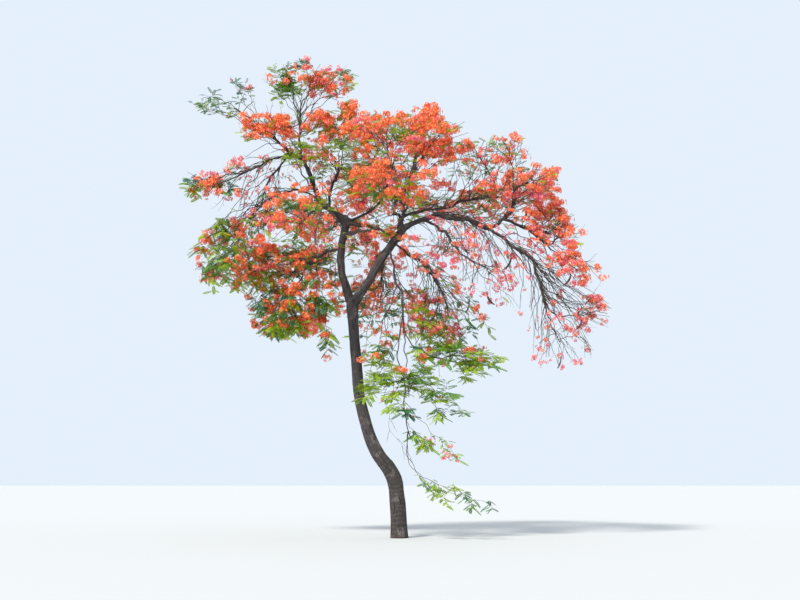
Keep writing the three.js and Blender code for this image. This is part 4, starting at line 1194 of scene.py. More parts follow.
    ("bough_heart_left", 0.3, (-2.2, -0.2, 9), (-0.04, 0, 0.08), 0.012, "heart_left", 1, 1.3),
    ("bough_center_left", 0.3, (-1.05, -0.3, 8.72), (0, 0, 0.05), 0.01, "heart_left", 1, 1.2),
    ("bough_center_left", 0.75, (0.15, -0.9, 8.9), (-0.02, 0, 0.06), 0.012, "heart_front", 1, 1.3),
    ("bough_top", 0.95, (-3.35, 0.15, 12.75), (0.07, 0, -0.02), 0.013, "top", 0, 0.9),
    ("bough_top", 1, (-2.3, 0.1, 12.35), (-0.05, 0, 0), 0.013, "top", 1, 1.3),
    ("bough_back", 0.9, (0.6, 1.6, 10.6), (0, 0, 0.1), 0.014, "dome_back", 1, 1.2),
    ("bough_back", 0.94, (0.1, 1.2, 11), (0, 0, 0.06), 0.014, "dome_back", 1, 1.2),
]
LONG_THIN_END = 0.35
long_starts = [limb_point(name, at - SUNK_SHARE) for name, at, *_ in LONG_TWIGS]
long_ends = np.array([row[2] for row in LONG_TWIGS])
long_radius = np.array([row[4] for row in LONG_TWIGS])
longs = twig_batch(
    bowed(np.array(long_starts), long_ends, np.array([row[3] for row in LONG_TWIGS])),
    long_radius, long_radius * LONG_THIN_END, [MASS_NAMES.index(row[5]) for row in LONG_TWIGS],
    [row[6] for row in LONG_TWIGS], [row[7] for row in LONG_TWIGS],
)
print("set by hand:", len(longs.mass), "long twigs")

# %% [markdown]
# The real crown has windows of sky, places that are all leaves and places packed with bloom.
# Chance alone would spread all three evenly, so the most telling ones are listed one by one, as
# they are seen from the front. Each is an ellipse that thins, fills or changes whatever ends inside it.

# %% Thin, leafy and full places
# The column and row of a place in a front view of 800 by 600, its half width and half height, the
# share of its sprays that grow, and how much more or less they bloom and how rich they are
PLACES = {
    "sky right of the rim, high": (582, 186, 24, 38, 0, 1, 1),
    "sky right of the rim, low": (598, 239, 24, 26, 0.08, 1, 1),
    "sky over the rim": (562, 145, 27, 25, 0, 1, 1),
    "sky over the right peak": (524, 118, 32, 18, 0, 1, 1),
    "sky over the shoulder": (484, 108, 30, 21, 0, 1, 1),
    "sky right of the dome": (457, 112, 16, 12, 0, 1, 1),
    "sky left of the dome's peak": (411, 101, 12, 9, 0.15, 1, 1),
    "sky by the shoulder": (478, 129, 22, 13, 0, 1, 1),
    "thin shoulder": (478, 146, 22, 8, 0.5, 0.9, 0.8),
    "sky left of the right peak": (500, 129, 11, 7, 0.1, 1, 1),
    "sky over the dome": (428, 86, 74, 18, 0, 1, 1),
    "sky over the plate": (272, 103, 38, 10, 0.15, 0.3, 0.5),
    "sky over the top": (306, 51, 18, 9, 0, 1, 1),
    "sky right of the top": (337, 62, 16, 8, 0.1, 1, 1),
    "thin place right under the top": (312, 104, 15, 8, 0.4, 0.7, 0.6),
    "sky left of the join": (329, 107, 14, 8, 0.15, 0.6, 0.5),
    "sky between the west masses": (246, 209, 15, 15, 0.4, 0.9, 0.8),
    "thin place along the west drop": (261, 190, 9, 30, 0.5, 0.8, 0.8),
    "sky beside the west tip": (262, 148, 24, 9, 0.2, 0.9, 0.8),
    "sky over the west tip": (208, 162, 22, 12, 0.12, 0.4, 0.5),
    "leaves at the west tip": (181, 188, 12, 13, 1, 0.1, 0.9),
    "full west tip": (207, 186, 14, 8, 1, 2, 1.4),
    "sky inside the east bough": (466, 226, 20, 8, 0.4, 0.9, 0.8),
    "sky beside the east stem": (425, 232, 12, 9, 0.4, 0.9, 0.8),
    "sky under the east bough": (505, 240, 18, 8, 0.5, 0.9, 0.7),
    "sky under the drooping bough": (514, 328, 22, 22, 0.2, 1, 0.8),
    "sky inside the droop": (535, 300, 14, 16, 0.3, 0.8, 0.6),
    "foot of the droop": (570, 352, 50, 28, 0.45, 1.6, 1.1),
    "middle of the droop": (552, 284, 20, 14, 0.35, 0.9, 0.6),
    "sky beside the low twigs": (470, 276, 22, 9, 0.4, 0.9, 0.7),
    "open fork of the west stem": (322, 204, 17, 14, 0.35, 0.5, 0.7),
    "open branch between the stems": (364, 217, 22, 5, 0.5, 0.6, 0.8),
    "open head of the west stem": (336, 228, 10, 10, 0.4, 0.6, 0.7),
    "full behind the west stem": (355, 232, 9, 10, 1, 1.5, 1.2),
    "open right peak": (510, 147, 20, 11, 0.45, 0.9, 0.7),
    "open right top": (520, 166, 24, 10, 0.6, 0.9, 0.9),
    "leaf tuft at the top": (281, 66, 12, 12, 1, 0, 0.8),
    "bloom at the very top": (312, 67, 10, 9, 1, 2, 1),
    "olive leaves at the top": (284, 91, 13, 9, 1, 0.1, 1),
    "thin place under the top": (292, 109, 12, 9, 0.5, 0.6, 0.7),
    "leaves on the left of the dome": (337, 146, 14, 9, 0.9, 0.2, 0.9),
    "leaves in the dome": (378, 147, 7, 6, 0.9, 0.4, 0.9),
    "leaves on the dome": (402, 131, 11, 6, 1, 0.3, 0.9),
    "leaves on the right of the dome": (447, 118, 9, 7, 1, 0.4, 0.9),
    "leaves in the heart": (405, 185, 12, 8, 0.9, 0.3, 0.9),
    "leaves by the arch": (300, 141, 9, 9, 1, 0.2, 0.9),
    "leaves in the lower left": (292, 243, 16, 9, 0.8, 0.4, 1),
    "leaves under the left": (252, 292, 24, 10, 0.9, 0.4, 1),
    "leaves in the skirt": (281, 326, 17, 13, 0.9, 0.3, 1),
    "full place in the skirt": (275, 306, 13, 7, 1, 2, 1.4),
    "leaves beside the band": (322, 304, 9, 9, 0.8, 0.2, 0.9),
    "leaves left of the skirt": (260, 312, 8, 11, 0.7, 0.2, 0.9),
    "leaves on the left shoulder": (214, 225, 20, 13, 1, 0.35, 0.9),
    "full bunch left of the fork": (334, 291, 9, 8, 1, 1.8, 1.4),
    "full plate": (277, 127, 33, 12, 1, 1.4, 1.6),
    "full top": (316, 86, 17, 12, 1, 2, 1.5),
    "leaf tufts of the far left": (212, 106, 24, 12, 0.8, 0.15, 0.8),
    "leaf tuft left of the top": (234, 94, 11, 14, 0.9, 0.02, 0.9),
    "open air left of the top": (262, 88, 9, 13, 0.3, 0.5, 0.7),
    "sky under the west tip": (230, 212, 8, 7, 0.4, 0.8, 0.7),
    "thin place in the droop": (572, 302, 16, 11, 0.5, 0.8, 0.7),
    "thin place left of it": (551, 307, 13, 9, 0.5, 0.7, 0.7),
    "sky under the end of the rim": (592, 290, 10, 8, 0.3, 0.8, 0.8),
    "leaves of the left arm": (226, 257, 14, 10, 1, 0.5, 1),
    "leaves low in the middle": (424, 340, 16, 10, 0.8, 0.3, 0.9),
    "full left of the dome": (322, 123, 12, 12, 1, 2, 1.5),
    "full middle of the dome": (362, 127, 27, 12, 1, 1.5, 1.3),
    "full join of plate and dome": (350, 113, 12, 10, 1, 1.6, 1.4),
    "full under the shoulder": (485, 186, 14, 8, 1, 1.5, 1.3),
    "full left of the heart": (320, 197, 30, 8, 1, 1.5, 1.4),
    "full over the branches": (360, 206, 18, 7, 1, 1.5, 1.3),
    "open place in the dome": (383, 154, 11, 7, 0.3, 0.7, 0.7),
    "full bunches beside the rim": (530, 216, 12, 10, 1, 1.6, 1.3),
    "full under the low bough": (415, 305, 12, 18, 1, 1.5, 1.2),
    "open middle of the dome": (412, 166, 12, 8, 0.25, 0.6, 0.7),
    "full low heart": (398, 192, 16, 9, 1, 1.6, 1.3),
    "thin place over the east bough": (446, 199, 16, 9, 0.5, 0.8, 0.8),
    "open place under its start": (457, 239, 12, 14, 0.5, 0.8, 0.8),
    "thin place right of the fork": (397, 284, 9, 15, 0.4, 0.8, 0.7),
    "thin place low on the right": (457, 310, 24, 14, 0.45, 0.7, 0.8),
    "full under the dome": (318, 158, 16, 9, 1, 1.5, 1.3),
    "full under the heart": (420, 186, 24, 7, 1, 1.6, 1.2),
    "thin place left of the arm": (228, 205, 24, 9, 0.5, 0.8, 0.7),
    "full right of the dome": (438, 150, 34, 17, 1, 1.3, 1.4),
    "full heart": (392, 176, 22, 10, 1, 1.4, 1.4),
    "full rim": (548, 192, 20, 16, 1, 1.3, 1.3),
    "full rim, lower": (568, 252, 15, 16, 1, 1.4, 1.4),
    "full rim, lowest": (580, 278, 14, 8, 1, 1.4, 1.4),
    "full bunches on the left": (262, 248, 10, 20, 1, 2, 1.5),
    "full band in the lower left": (318, 322, 17, 18, 1, 1.8, 1.5),
    "full bunches in the lower left": (301, 290, 14, 9, 1, 1.5, 1.3),
    "full bunches between the stems": (382, 242, 20, 8, 1, 1.4, 1.3),
    "full bunch under the east bough": (447, 257, 10, 9, 1, 1.7, 1.6),
    "full bunch beside it": (427, 259, 9, 7, 1, 1.7, 1.6),
    "full bunch right of the fork": (371, 305, 11, 7, 1, 1.6, 1.5),
}
PLACE_ROWS = np.array(list(PLACES.values()))
PITCH = np.arctan(HORIZON_DROP / FOCAL_PIXELS)
FRAME_MIDDLE = (FRAME_WIDTH / 2, FRAME_HEIGHT / 2)


def front_view(points):
    """The column and row where each point is seen: its offsets to the right of the eye and above
    the line of sight, over its distance along that line, times the focal length."""
    x, y, z = (points - CAMERA_PLACE).T
    ahead = y * np.cos(PITCH) + z * np.sin(PITCH)
    above = z * np.cos(PITCH) - y * np.sin(PITCH)
    seen = np.stack([x, -above], axis=-1) / ahead[:, None]
    return FRAME_MIDDLE + FOCAL_PIXELS * seen


def place_shares(points):
    """For each point the product, over all places that it lies in, of each of their three shares."""
    offset = (front_view(points)[:, None] - PLACE_ROWS[:, :2]) / PLACE_ROWS[:, 2:4]
    inside = (offset**2).sum(-1) < 1
    return (np.where(inside, PLACE_ROWS[:, column], 1).prod(axis=1) for column in (4, 5, 6))


print("places:", len(PLACES))

# %% [markdown]
# Shoots and twiglets come from one function. A shoot leaves its twig at an angle, turned round
# the twig by the golden angle, and then bends to the light in a dome, or hangs in a weeping mass.
# Some stop well inside the mass's space and some stand a little out of it, so that the masses
# run into each other like the layers of one crown and none looks like a ball.

# %% Shoots and twiglets
LIGHT_PULL = 0.28  # how strongly a shoot of a dome turns up
HANG_PULL = -0.40  # and one of a weeping mass turns down
BEND = 0.25  # how much of that pull is added again at the shoot's end
SWELLS = np.array([[0.75, 0.75, 0.65], [1.32, 1.32, 0.92]])  # the smallest and largest space, by axis
LEAST_ROOM = 0.5  # a shoot with less room than this share of the shortest is left out
THINNEST = 0.3  # and so is one in a place whose share is under this times a chance
TIP_MARGIN = 0.12  # every shoot ends at least this far inside the solids' box
SHOOT_THIN_END = 0.6
BOX_LOW, BOX_HIGH = np.array(cad_box)

# Where shoots leave their parent by share of its length, at how many degrees, the shortest and the
# longest, their first chance, and their radius
Branching = namedtuple("Branching", "shares degrees lengths seed radius")
SHOOTS = Branching(
    (0.22, 0.34, 0.46, 0.56, 0.66, 0.76, 0.85, 0.93, 1.0), (66, 64, 60, 56, 52, 48, 46, 42, 8),
    (0.45, 1.05), 11, 0.0065,
)
SIDE_SHOOTS = Branching(
    (0.36, 0.5, 0.62, 0.73, 0.83, 0.92, 1.0), (34, 36, 38, 40, 40, 38, 6), (0.22, 0.7), 12, 0.006,
)
LONG_SHOOTS = Branching((0.6, 0.72, 0.83, 0.92, 1.0), (44, 42, 40, 36, 6), (0.12, 0.34), 17, 0.005)
TWIGLETS = Branching((0.5, 0.78, 1.0), (56, 48, 6), (0.10, 0.32), 13, 0.0035)
SIDE_TWIGLETS = Branching((0.7, 1.0), (45, 6), (0.08, 0.24), 14, 0.0035)
LONG_TWIGLETS = Branching((0.7, 1.0), (45, 6), (0.06, 0.16), 18, 0.0035)
INNER_TWIGLETS = Branching((0.55, 0.8, 1.0), (42, 38, 6), (0.10, 0.28), 15, 0.0035)
SIDE_FULL = 0.6  # the share of side shoots that grow, against the shoots of the same mass


def branched(parents, branching, swells=None, full=None, spill=None):
    """Side shoots. The start is the parent's point at a share; the direction is the cosine of the
    spread along the parent plus its sine to one side, plus the pull up or down; the length is
    chosen between two bounds by chance and cut to the room left in the swollen space. With a spill,
    a shoot that ends outside its space, grown by the spill, is left out."""
    shares, degrees, lengths, seed, radius = branching
    count, places = len(parents.mass), len(shares)
    share, spread = np.tile(shares, count), np.tile(np.radians(degrees), count)[:, None]
    number, order = np.repeat(np.arange(count), places), np.tile(np.arange(places), count)
    curve = tuple(point[number] for point in parents.curve)
    mass = parents.mass[number]
    start, along = twig_point(curve, share), heading_on(curve, share)
    turn = (order * GOLDEN_ANGLE + 2 * np.pi * chance(seed, number, 1))[:, None]
    aside = turned(*axes_round(along), turn)
    pull = np.where(WEEPS[mass], HANG_PULL, LIGHT_PULL)[:, None]
    direction = unit(turned(along, aside, spread) + pull * UP)
    length = mixed(*lengths, chance(seed, number, order + 2))
    if swells is not None:
        swell = mixed(*swells, chance(seed, number, order + 20)[:, None])
        length = np.minimum(length, edge_distance(mass, start, direction, swell))
    kept = length > LEAST_ROOM * lengths[0]
    if full is not None:
        kept &= chance(seed, number, order + 40) < full[mass]
    end = start + length[:, None] * (direction + BEND * pull * UP)
    kept &= ((end > BOX_LOW + TIP_MARGIN) & (end < BOX_HIGH - TIP_MARGIN)).all(axis=1)
    grows, _, _ = place_shares(end)
    kept &= grows > THINNEST * chance(seed, number, order + 60)
    if spill is not None:
        kept &= (((end - MASS_MIDDLE[mass]) / MASS_HALF[mass] / spill[mass]) ** 2).sum(-1) < 1
    control = start + 0.5 * length[:, None] * direction
    root = np.full(kept.sum(), radius)
    bloom, rich = parents.bloom[number][kept], parents.rich[number][kept]
    curve = start[kept], control[kept], end[kept]
    return Twigs(curve, root, root * SHOOT_THIN_END, mass[kept], bloom, rich)


shoots = branched(twigs, SHOOTS, SWELLS, GROWN.full)
side_shoots = branched(sides, SIDE_SHOOTS, full=SIDE_FULL * GROWN.full)
long_shoots = branched(longs, LONG_SHOOTS)
twiglets = branched(shoots, TWIGLETS, spill=SPILL)
side_twiglets = branched(side_shoots, SIDE_TWIGLETS)
long_twiglets = branched(long_shoots, LONG_TWIGLETS)
inner_twiglets = branched(inners, INNER_TWIGLETS)
ENDS = [twiglets, side_twiglets, inner_twiglets, long_twiglets]
print("grown:", len(shoots.mass), "shoots,", len(side_shoots.mass), "side shoots and",
      [len(batch.mass) for batch in ENDS], "twiglets")

# %% [markdown]
# All of them become closed tubes. Thick ones get up to eight sides and thin ones three, because
# so many sticks would look the same with more. The crown is cut into six regions, and each
# region's twigs, leaves and blossom are one piece each, because one piece for the whole crown
# would be too heavy to handle.

# %% Twig pieces
REGIONS = {
    "upper_left": ["top", "top_left", "plate_left", "dome_left", "heart_left", "west_tip"],
    "lower_left": ["west_mid", "west_low", "west_skirt", "west_back", "front_left", "back_left"],
    "middle": ["dome_front", "heart_front", "dome_right", "dome_back", "shoulder"],
    "back": ["back_high", "back_east", "back_low", "east_inner"],
    "right": ["east_high", "east_peak", "east_edge", "east_low", "east_tip", "east_droop", "mid_droop"],
    "low": ["front_east", "low_east", "green_east", "green_low", "hanging"],
}
REGION_OF = np.array([
    next(k for k, names in enumerate(REGIONS.values()) if mass in names) for mass in MASS_NAMES
])
# Each batch, and how many rings and sides its tubes have
STICKS = [
    (stems, 14, 6), (twigs, 12, 5), (sides, 16, 4), (shoots, 6, 4), (side_shoots, 5, 3),
    (twiglets, 3, 3), (side_twiglets, 3, 3), (inners, 6, 4), (inner_twiglets, 3, 3), (longs, 20, 8),
    (long_shoots, 5, 4), (long_twiglets, 3, 3),
]


def region_tubes(batch, region, rings, sides):
    """The batch's twigs that belong to one region, as tubes whose radius falls evenly."""
    chosen = REGION_OF[batch.mass] == region
    share = np.linspace(0, 1, rings)
    curve = tuple(point[chosen][:, None] for point in batch.curve)
    lines = twig_point(curve, share)
    radii = mixed(batch.root[chosen][:, None], batch.tip[chosen][:, None], share)
    return tubes(lines, radii, sides)


def finish_piece(piece, region):
    """Each foliage piece rides on the one body and stands for its region's masses."""
    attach(piece, "root")
    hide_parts(*[f"mass_{name}" for name in REGIONS[region]])


for k, region in enumerate(REGIONS):
    parts = [region_tubes(batch, k, rings, sides) for batch, rings, sides in STICKS]
    finish_piece(new_piece(f"twigs_{region}", *joined(parts), [TWIG_BARK]), region)

# %% [markdown]
# ## Leaves
# A leaf of this tree is a feather of feathers: a long stalk with pairs of side stalks, each set
# with tiny leaflets. Seen from a few steps away each side stalk is a slim blade, so one leaf here
# is a thin stalk with eleven pairs of blades of one face each. One leaf is worked out as an array,
# and then copied, turned and bent for all places at once. Particles would do it too, but they
# would be lost when the model is exported.

# %% One leaf
LEAF_PAIRS = 11
FIRST_PAIR, LAST_PAIR = 0.16, 0.97  # where they sit: like the next two, in shares of the leaf's length
BLADE_LENGTH = 0.23
BLADE_WIDTH = 0.084
SHORTEST_BLADE = 0.45  # of the blade's length
BLADE_SHIFT, BLADE_POWER = 0.05, 0.8
BLADE_LEANS = (72, 40)  # degrees from the stalk, at the leaf's root and at its tip
BLADE_FALL = 0.5  # how far a blade's tip hangs below its stalk, of its length
STALK_WIDTH = 0.012
STALK_STEPS = 4
STALK_ROOT = 1.2  # how wide the stalk is at its root, in stalk widths


def leaf_shape():
    """Corners of one leaf of length 1 along y. Blade pairs sit at even steps of the stalk; their
    length follows a half sine, they lean forward more and more towards the tip, and they hang a
    little to both sides like a roof."""
    at = np.linspace(FIRST_PAIR, LAST_PAIR, LEAF_PAIRS)
    swelling = np.sin(np.pi * (at - BLADE_SHIFT)) ** BLADE_POWER
    size = BLADE_LENGTH * (SHORTEST_BLADE + (1 - SHORTEST_BLADE) * swelling)
    lean = np.radians(mixed(*BLADE_LEANS, at))
    blades = []
    for side in (-1, 1):
        out = np.stack([side * np.sin(lean), np.cos(lean), -BLADE_FALL + 0 * at], axis=-1)
        wide = np.stack([np.cos(lean), -side * np.sin(lean), 0 * at], axis=-1) * BLADE_WIDTH / 2
        root = np.stack([0 * at, at, 0 * at], axis=-1)
        tip, belly = root + size[:, None] * out, root + 0.5 * size[:, None] * out
        blades.append(np.stack([root, belly + side * wide, tip, belly - side * wide], axis=1))
    blades = np.concatenate(blades).reshape(-1, 3)
    y = np.linspace(0, LAST_PAIR, STALK_STEPS)
    half = STALK_WIDTH / 2 * (STALK_ROOT - y)
    stalk = np.concatenate([np.stack([side * half, y, 0 * y], axis=-1) for side in (-1, 1)])
    blade_faces = 4 * np.arange(2 * LEAF_PAIRS)[:, None] + [0, 1, 2, 3]
    step = np.arange(STALK_STEPS - 1)[:, None]
    stalk_faces = len(blades) + step + [0, STALK_STEPS, STALK_STEPS + 1, 1]
    return np.concatenate([blades, stalk]), np.concatenate([blade_faces, stalk_faces])


LEAF_CORNERS, LEAF_FACES = leaf_shape()
print("one leaf:", len(LEAF_CORNERS), "corners,", 2 * len(LEAF_FACES), "triangles")

# %% [markdown]
# Each twiglet ends in a spray. By chance, and by how much of its mass is in bloom, the spray is
# mostly blossom or mostly leaves. The leaves of a spray stand in a whorl at its end, arch out and
# droop. One colour goes to all the leaves of a spray, because leaves of one age grow together.

# %% Sprays and where their leaves stand
Sprays = namedtuple("Sprays", "tip along mass luck light blooms full rich")
CLUMP = np.array([0.42, 0.42, 0.25])  # the size of a clump of sprays that are alike: wide and low
CLUMP_STRAY = 0.3
STRAY_DRAWS = np.array([27, 28, 29])
LUCK_DRAWS = np.array([21, 23, 24])
BLOOM_LUCK, LEAF_LUCK, PETAL_LUCK = 0, 1, 2  # the columns of a spray's luck
LEVEL_STEP = 1.7
UNDERSIDE = 0.6  # the share of sprays that grow on the underside of a dome, where little light falls
LIGHT_OPENS = (0.8, 1.15)  # how much sprays bloom at the foot of a mass and at its top
LIGHT_FILLS = (0.85, 1.2)  # and how full their bunches are there
BUNCH_FILLS = (0.3, 1.0)  # the poorest and the fullest bunch


def spray_ends(batches):
    """The end, heading and mass of every twiglet. Sprays that stand close together share their
    luck: it comes from the box of a coarse grid that their end, moved a little astray, falls in.
    Light is the spray's height in its space, from 0 at the foot to 1 at the top."""
    tip = np.concatenate([batch.curve[2] for batch in batches])
    along = np.concatenate([heading_on(batch.curve, 1.0) for batch in batches])
    mass = np.concatenate([batch.mass for batch in batches])
    bloom = np.concatenate([batch.bloom for batch in batches])
    rich = np.concatenate([batch.rich for batch in batches])
    own = (tip @ POINT_STEPS)[:, None]
    stray = CLUMP_STRAY * (chance(own, 0, STRAY_DRAWS) - 0.5)
    clump = np.floor((tip + stray) / CLUMP)
    luck = chance(clump[:, :1], clump[:, 1:2], clump[:, 2:] * LEVEL_STEP + LUCK_DRAWS)
    light = np.clip(0.5 + 0.5 * (tip - MASS_MIDDLE[mass])[:, 2] / MASS_HALF[mass, 2], 0, 1)
    grows, opens, enriched = place_shares(tip)
    grows = grows * np.where(WEEPS[mass], 1, mixed(UNDERSIDE, 1, light))
    blooms = luck[:, BLOOM_LUCK] < bloom * opens * mixed(*LIGHT_OPENS, light)
    full = mixed(*BUNCH_FILLS, chance(own[:, 0], 0, 25)) * rich * GROWN.rich[mass]
    full = full * enriched * mixed(*LIGHT_FILLS, light)
    kept = chance(own[:, 0], 0, 26) < grows
    return Sprays(*(column[kept] for column in (tip, along, mass, luck, light, blooms, full, rich)))


sprays = spray_ends(ENDS)
MOST_LEAVES = 11
LEAF_LENGTHS = (0.19, 0.33)
POOR_LEAF = 0.55  # how long the leaves of the poorest spray are, of that
LEAF_SHARES = {True: 0.08, False: 0.60}  # the share of those that a spray has, in bloom or not
LEAF_RISES = (0.55, -0.1)
LEAF_HANG = 0.25  # how much lower they head in a weeping mass
LEAF_ALONG = {True: 0.15, False: 0.45}  # how far they follow their twiglet, in weeping masses or not
LEAF_STEP = 0.025  # metres of twiglet from one leaf to the next
LEAF_DROOPS = (0.12, 0.45)
LEAF_ROLL = 0.9  # radians, the most that a leaf is turned round its own stalk
LEAF_CYCLE = 5  # leaves are counted round this cycle for their droop and roll
LEAF_DRAWS = np.array([34, 35])


def leaf_places():
    """One row for each leaf: its root, direction, length and spray. Leaf k of a spray is turned by
    k golden angles and stands a little further back on the twiglet."""
    spray = np.repeat(np.arange(len(sprays.mass)), MOST_LEAVES)
    k = np.tile(np.arange(MOST_LEAVES), len(sprays.mass))
    share = np.where(sprays.blooms[spray], LEAF_SHARES[True], LEAF_SHARES[False])
    kept = chance(spray, k, 31) < share * GROWN.leafy[sprays.mass[spray]] * sprays.rich[spray]
    spray, k = spray[kept], k[kept]
    azimuth = k * GOLDEN_ANGLE + 2 * np.pi * chance(spray, 0, 30)
    weeps = WEEPS[sprays.mass[spray]]
    rise = mixed(*LEAF_RISES, chance(spray, k, 32)) - LEAF_HANG * weeps
    spread = np.stack([np.cos(azimuth), np.sin(azimuth), rise], axis=-1)
    follow = np.where(weeps, LEAF_ALONG[True], LEAF_ALONG[False])[:, None]
    direction = unit(unit(spread) + follow * sprays.along[spray])
    root = sprays.tip[spray] - LEAF_STEP * k[:, None] * sprays.along[spray]
    length = mixed(*LEAF_LENGTHS, chance(spray, k, 33)) * mixed(POOR_LEAF, 1.0, sprays.rich[spray])
    return root, direction, length, spray


def placed_leaves(root, direction, length, droop, roll):
    """Corners of many leaves: the leaf's x goes sideways, its y along its direction, and its z up
    from its face, all rolled round y. Each point then sinks by the droop times the square of its
    y."""
    level = unit(np.cross(direction, UP))
    side = turned(level, np.cross(level, direction), roll[:, None])
    face = np.cross(side, direction)
    x, y, z = (LEAF_CORNERS[None, :, axis, None] for axis in range(3))
    bent = x * side[:, None] + y * direction[:, None] + z * face[:, None]
    bent = bent - UP * droop[:, None, None] * y**2
    return root[:, None] + length[:, None, None] * bent


leaf_root, leaf_direction, leaf_length, leaf_spray = leaf_places()
leaf_turn = np.arange(len(leaf_spray))[:, None] % LEAF_CYCLE
leaf_luck = chance(leaf_spray[:, None], leaf_turn, LEAF_DRAWS)
leaf_droop = mixed(*LEAF_DROOPS, leaf_luck[:, 0])
leaf_roll = mixed(-LEAF_ROLL, LEAF_ROLL, leaf_luck[:, 1])
print("leaves:", len(leaf_root), "on", len(sprays.mass), "sprays,", int(sprays.blooms.sum()), "in bloom")

# %% [markdown]
# Leaves open almost yellow, turn green and end up deep and bluish. A noise could mix the three on
# one leaf, but on the tree they go by twig. So each face is given one of three finishes, by its
# spray's luck and by how old its mass's leaves are.

# %% Leaf pieces
LEAF_TINTS = (0.45, 0.8)  # chances under which a spray's leaves are fresh, then green, then deep


def copied_faces(shape_faces, corner_count, copies):
    """The faces of one shape, repeated for every copy with the corner numbers moved along."""
    first_corners = corner_count * np.arange(copies)[:, None, None]
    return (shape_faces[None] + first_corners).reshape(-1, shape_faces.shape[1])


for k, region in enumerate(REGIONS):
    chosen = REGION_OF[sprays.mass[leaf_spray]] == k
    corners = placed_leaves(
        leaf_root[chosen], leaf_direction[chosen], leaf_length[chosen],
        leaf_droop[chosen], leaf_roll[chosen],
    )
    faces = copied_faces(LEAF_FACES, len(LEAF_CORNERS), len(corners))
    spray = leaf_spray[chosen]
    tint = np.digitize(sprays.luck[spray, LEAF_LUCK] + GROWN.deep[sprays.mass[spray]], LEAF_TINTS)
    finish = np.repeat(tint, len(LEAF_FACES))
    piece = new_piece(f"leaves_{region}", corners.reshape(-1, 3), [faces], LEAF_FINISHES, finish)
    finish_piece(piece, region)

# %% [markdown]
# ## Blossom
# A flower has four spreading petals and a fifth, the standard, that is paler. Each petal is like a
# spoon: narrow at its root, broad at its raised belly and blunt at its end, with air between it
# and the next. One face of five corners gives that outline, and more would not be seen from any
# distance that shows the tree.

# %% One flower
PETALS = 5
PETAL_ROOT = 0.05  # in petal lengths from the flower's middle, as are the next three
BELLY_OUT, BELLY_RISE, BELLY_WIDTH = 0.66, 0.24, 0.74
END_OUT, END_RISE, END_WIDTH = 1.0, 0.11, 0.34
STALK_TOP, STALK_FOOT, STALK_SHARE = 0.03, 0.02, 1.5  # half widths, and how long the stalk is


def flower_shape():
    """Corners of one flower with petals of length 1, facing z. Petal p is turned by p fifths of a
    full turn; its belly is raised and its end falls back. The stalk is a thin blade below."""
    turn = 2 * np.pi * np.arange(PETALS) / PETALS
    out = np.stack([np.cos(turn), np.sin(turn), 0 * turn], axis=-1)
    wide = np.stack([-np.sin(turn), np.cos(turn), 0 * turn], axis=-1) / 2
    belly = BELLY_OUT * out + BELLY_RISE * UP
    end = END_OUT * out + END_RISE * UP
    left = [belly - BELLY_WIDTH * wide, end - END_WIDTH * wide]
    right = [end + END_WIDTH * wide, belly + BELLY_WIDTH * wide]
    petals = np.stack([PETAL_ROOT * out, *left, *right], axis=1).reshape(-1, 3)
    stalk = np.array([
        [STALK_TOP, 0, 0], [-STALK_TOP, 0, 0], [-STALK_FOOT, 0, -STALK_SHARE],
        [STALK_FOOT, 0, -STALK_SHARE],
    ])
    petal_faces = np.arange(len(petals)).reshape(PETALS, -1)
    return np.concatenate([petals, stalk]), petal_faces, len(petals) + np.arange(4)[None]


FLOWER_CORNERS, PETAL_FACES, STALK_FACE = flower_shape()
print("one flower:", len(FLOWER_CORNERS), "corners,", 3 * PETALS + 2, "triangles")

# %% [markdown]
# The flowers of a bunch stand on thin stalks that fan out from the end of the twiglet, so a bunch
# is a loose dome. Spiral steps of the golden angle spread any number of flowers evenly over it,
# where plain chance would leave holes and heaps.

# %% Where the flowers stand
MOST_FLOWERS = 15
PETAL_LENGTHS = (0.040, 0.057)
FLOWER_SHARES = {True: 1.0, False: 0.02}  # of the most flowers, for a spray in bloom or not
BUNCH_RISE = 0.7  # how strongly a bunch turns up from its twiglet
BUNCH_LEAN = 1.9  # radians from the bunch's axis to its outermost flowers
LEANS = (0.8, 1.1)  # how much less and more a flower may lean
STANDS = (0.7, 3.0)  # petal lengths from the twiglet's end to the nearest and furthest flower
BUNCH_SHAPE = np.array([1.15, 1.15, 0.75])  # a bunch is wider than it is tall
TURN_CYCLE = 97  # flowers are counted round this cycle for their turn


def flower_places():
    """One row for each flower: its middle, the way that it faces, its petal length, how far it
    stands from the twiglet, and its spray. The flowers face out from the twiglet's end over a
    flattened dome: flower k is turned by k golden angles and leans further the larger k is."""
    spray = np.repeat(np.arange(len(sprays.mass)), MOST_FLOWERS)
    k = np.tile(np.arange(MOST_FLOWERS), len(sprays.mass))
    share = np.where(sprays.blooms[spray], FLOWER_SHARES[True], FLOWER_SHARES[False])
    kept = chance(spray, k, 41) < share * sprays.full[spray]
    spray, k = spray[kept], k[kept]
    axis = unit(sprays.along[spray] + BUNCH_RISE * UP)
    turn = (k * GOLDEN_ANGLE + 2 * np.pi * chance(spray, 0, 40))[:, None]
    outermost = BUNCH_LEAN * np.sqrt((k + 0.5) / MOST_FLOWERS)
    lean = (outermost * mixed(*LEANS, chance(spray, k, 42)))[:, None]
    facing = turned(axis, turned(*axes_round(axis), turn), lean)
    petal = mixed(*PETAL_LENGTHS, chance(spray, k, 43))
    stand = mixed(*STANDS, chance(spray, k, 44)) * petal
    offset = stand[:, None] * facing * BUNCH_SHAPE
    away = np.linalg.norm(offset, axis=1)
    return sprays.tip[spray] + offset, offset / away[:, None], petal, away, spray


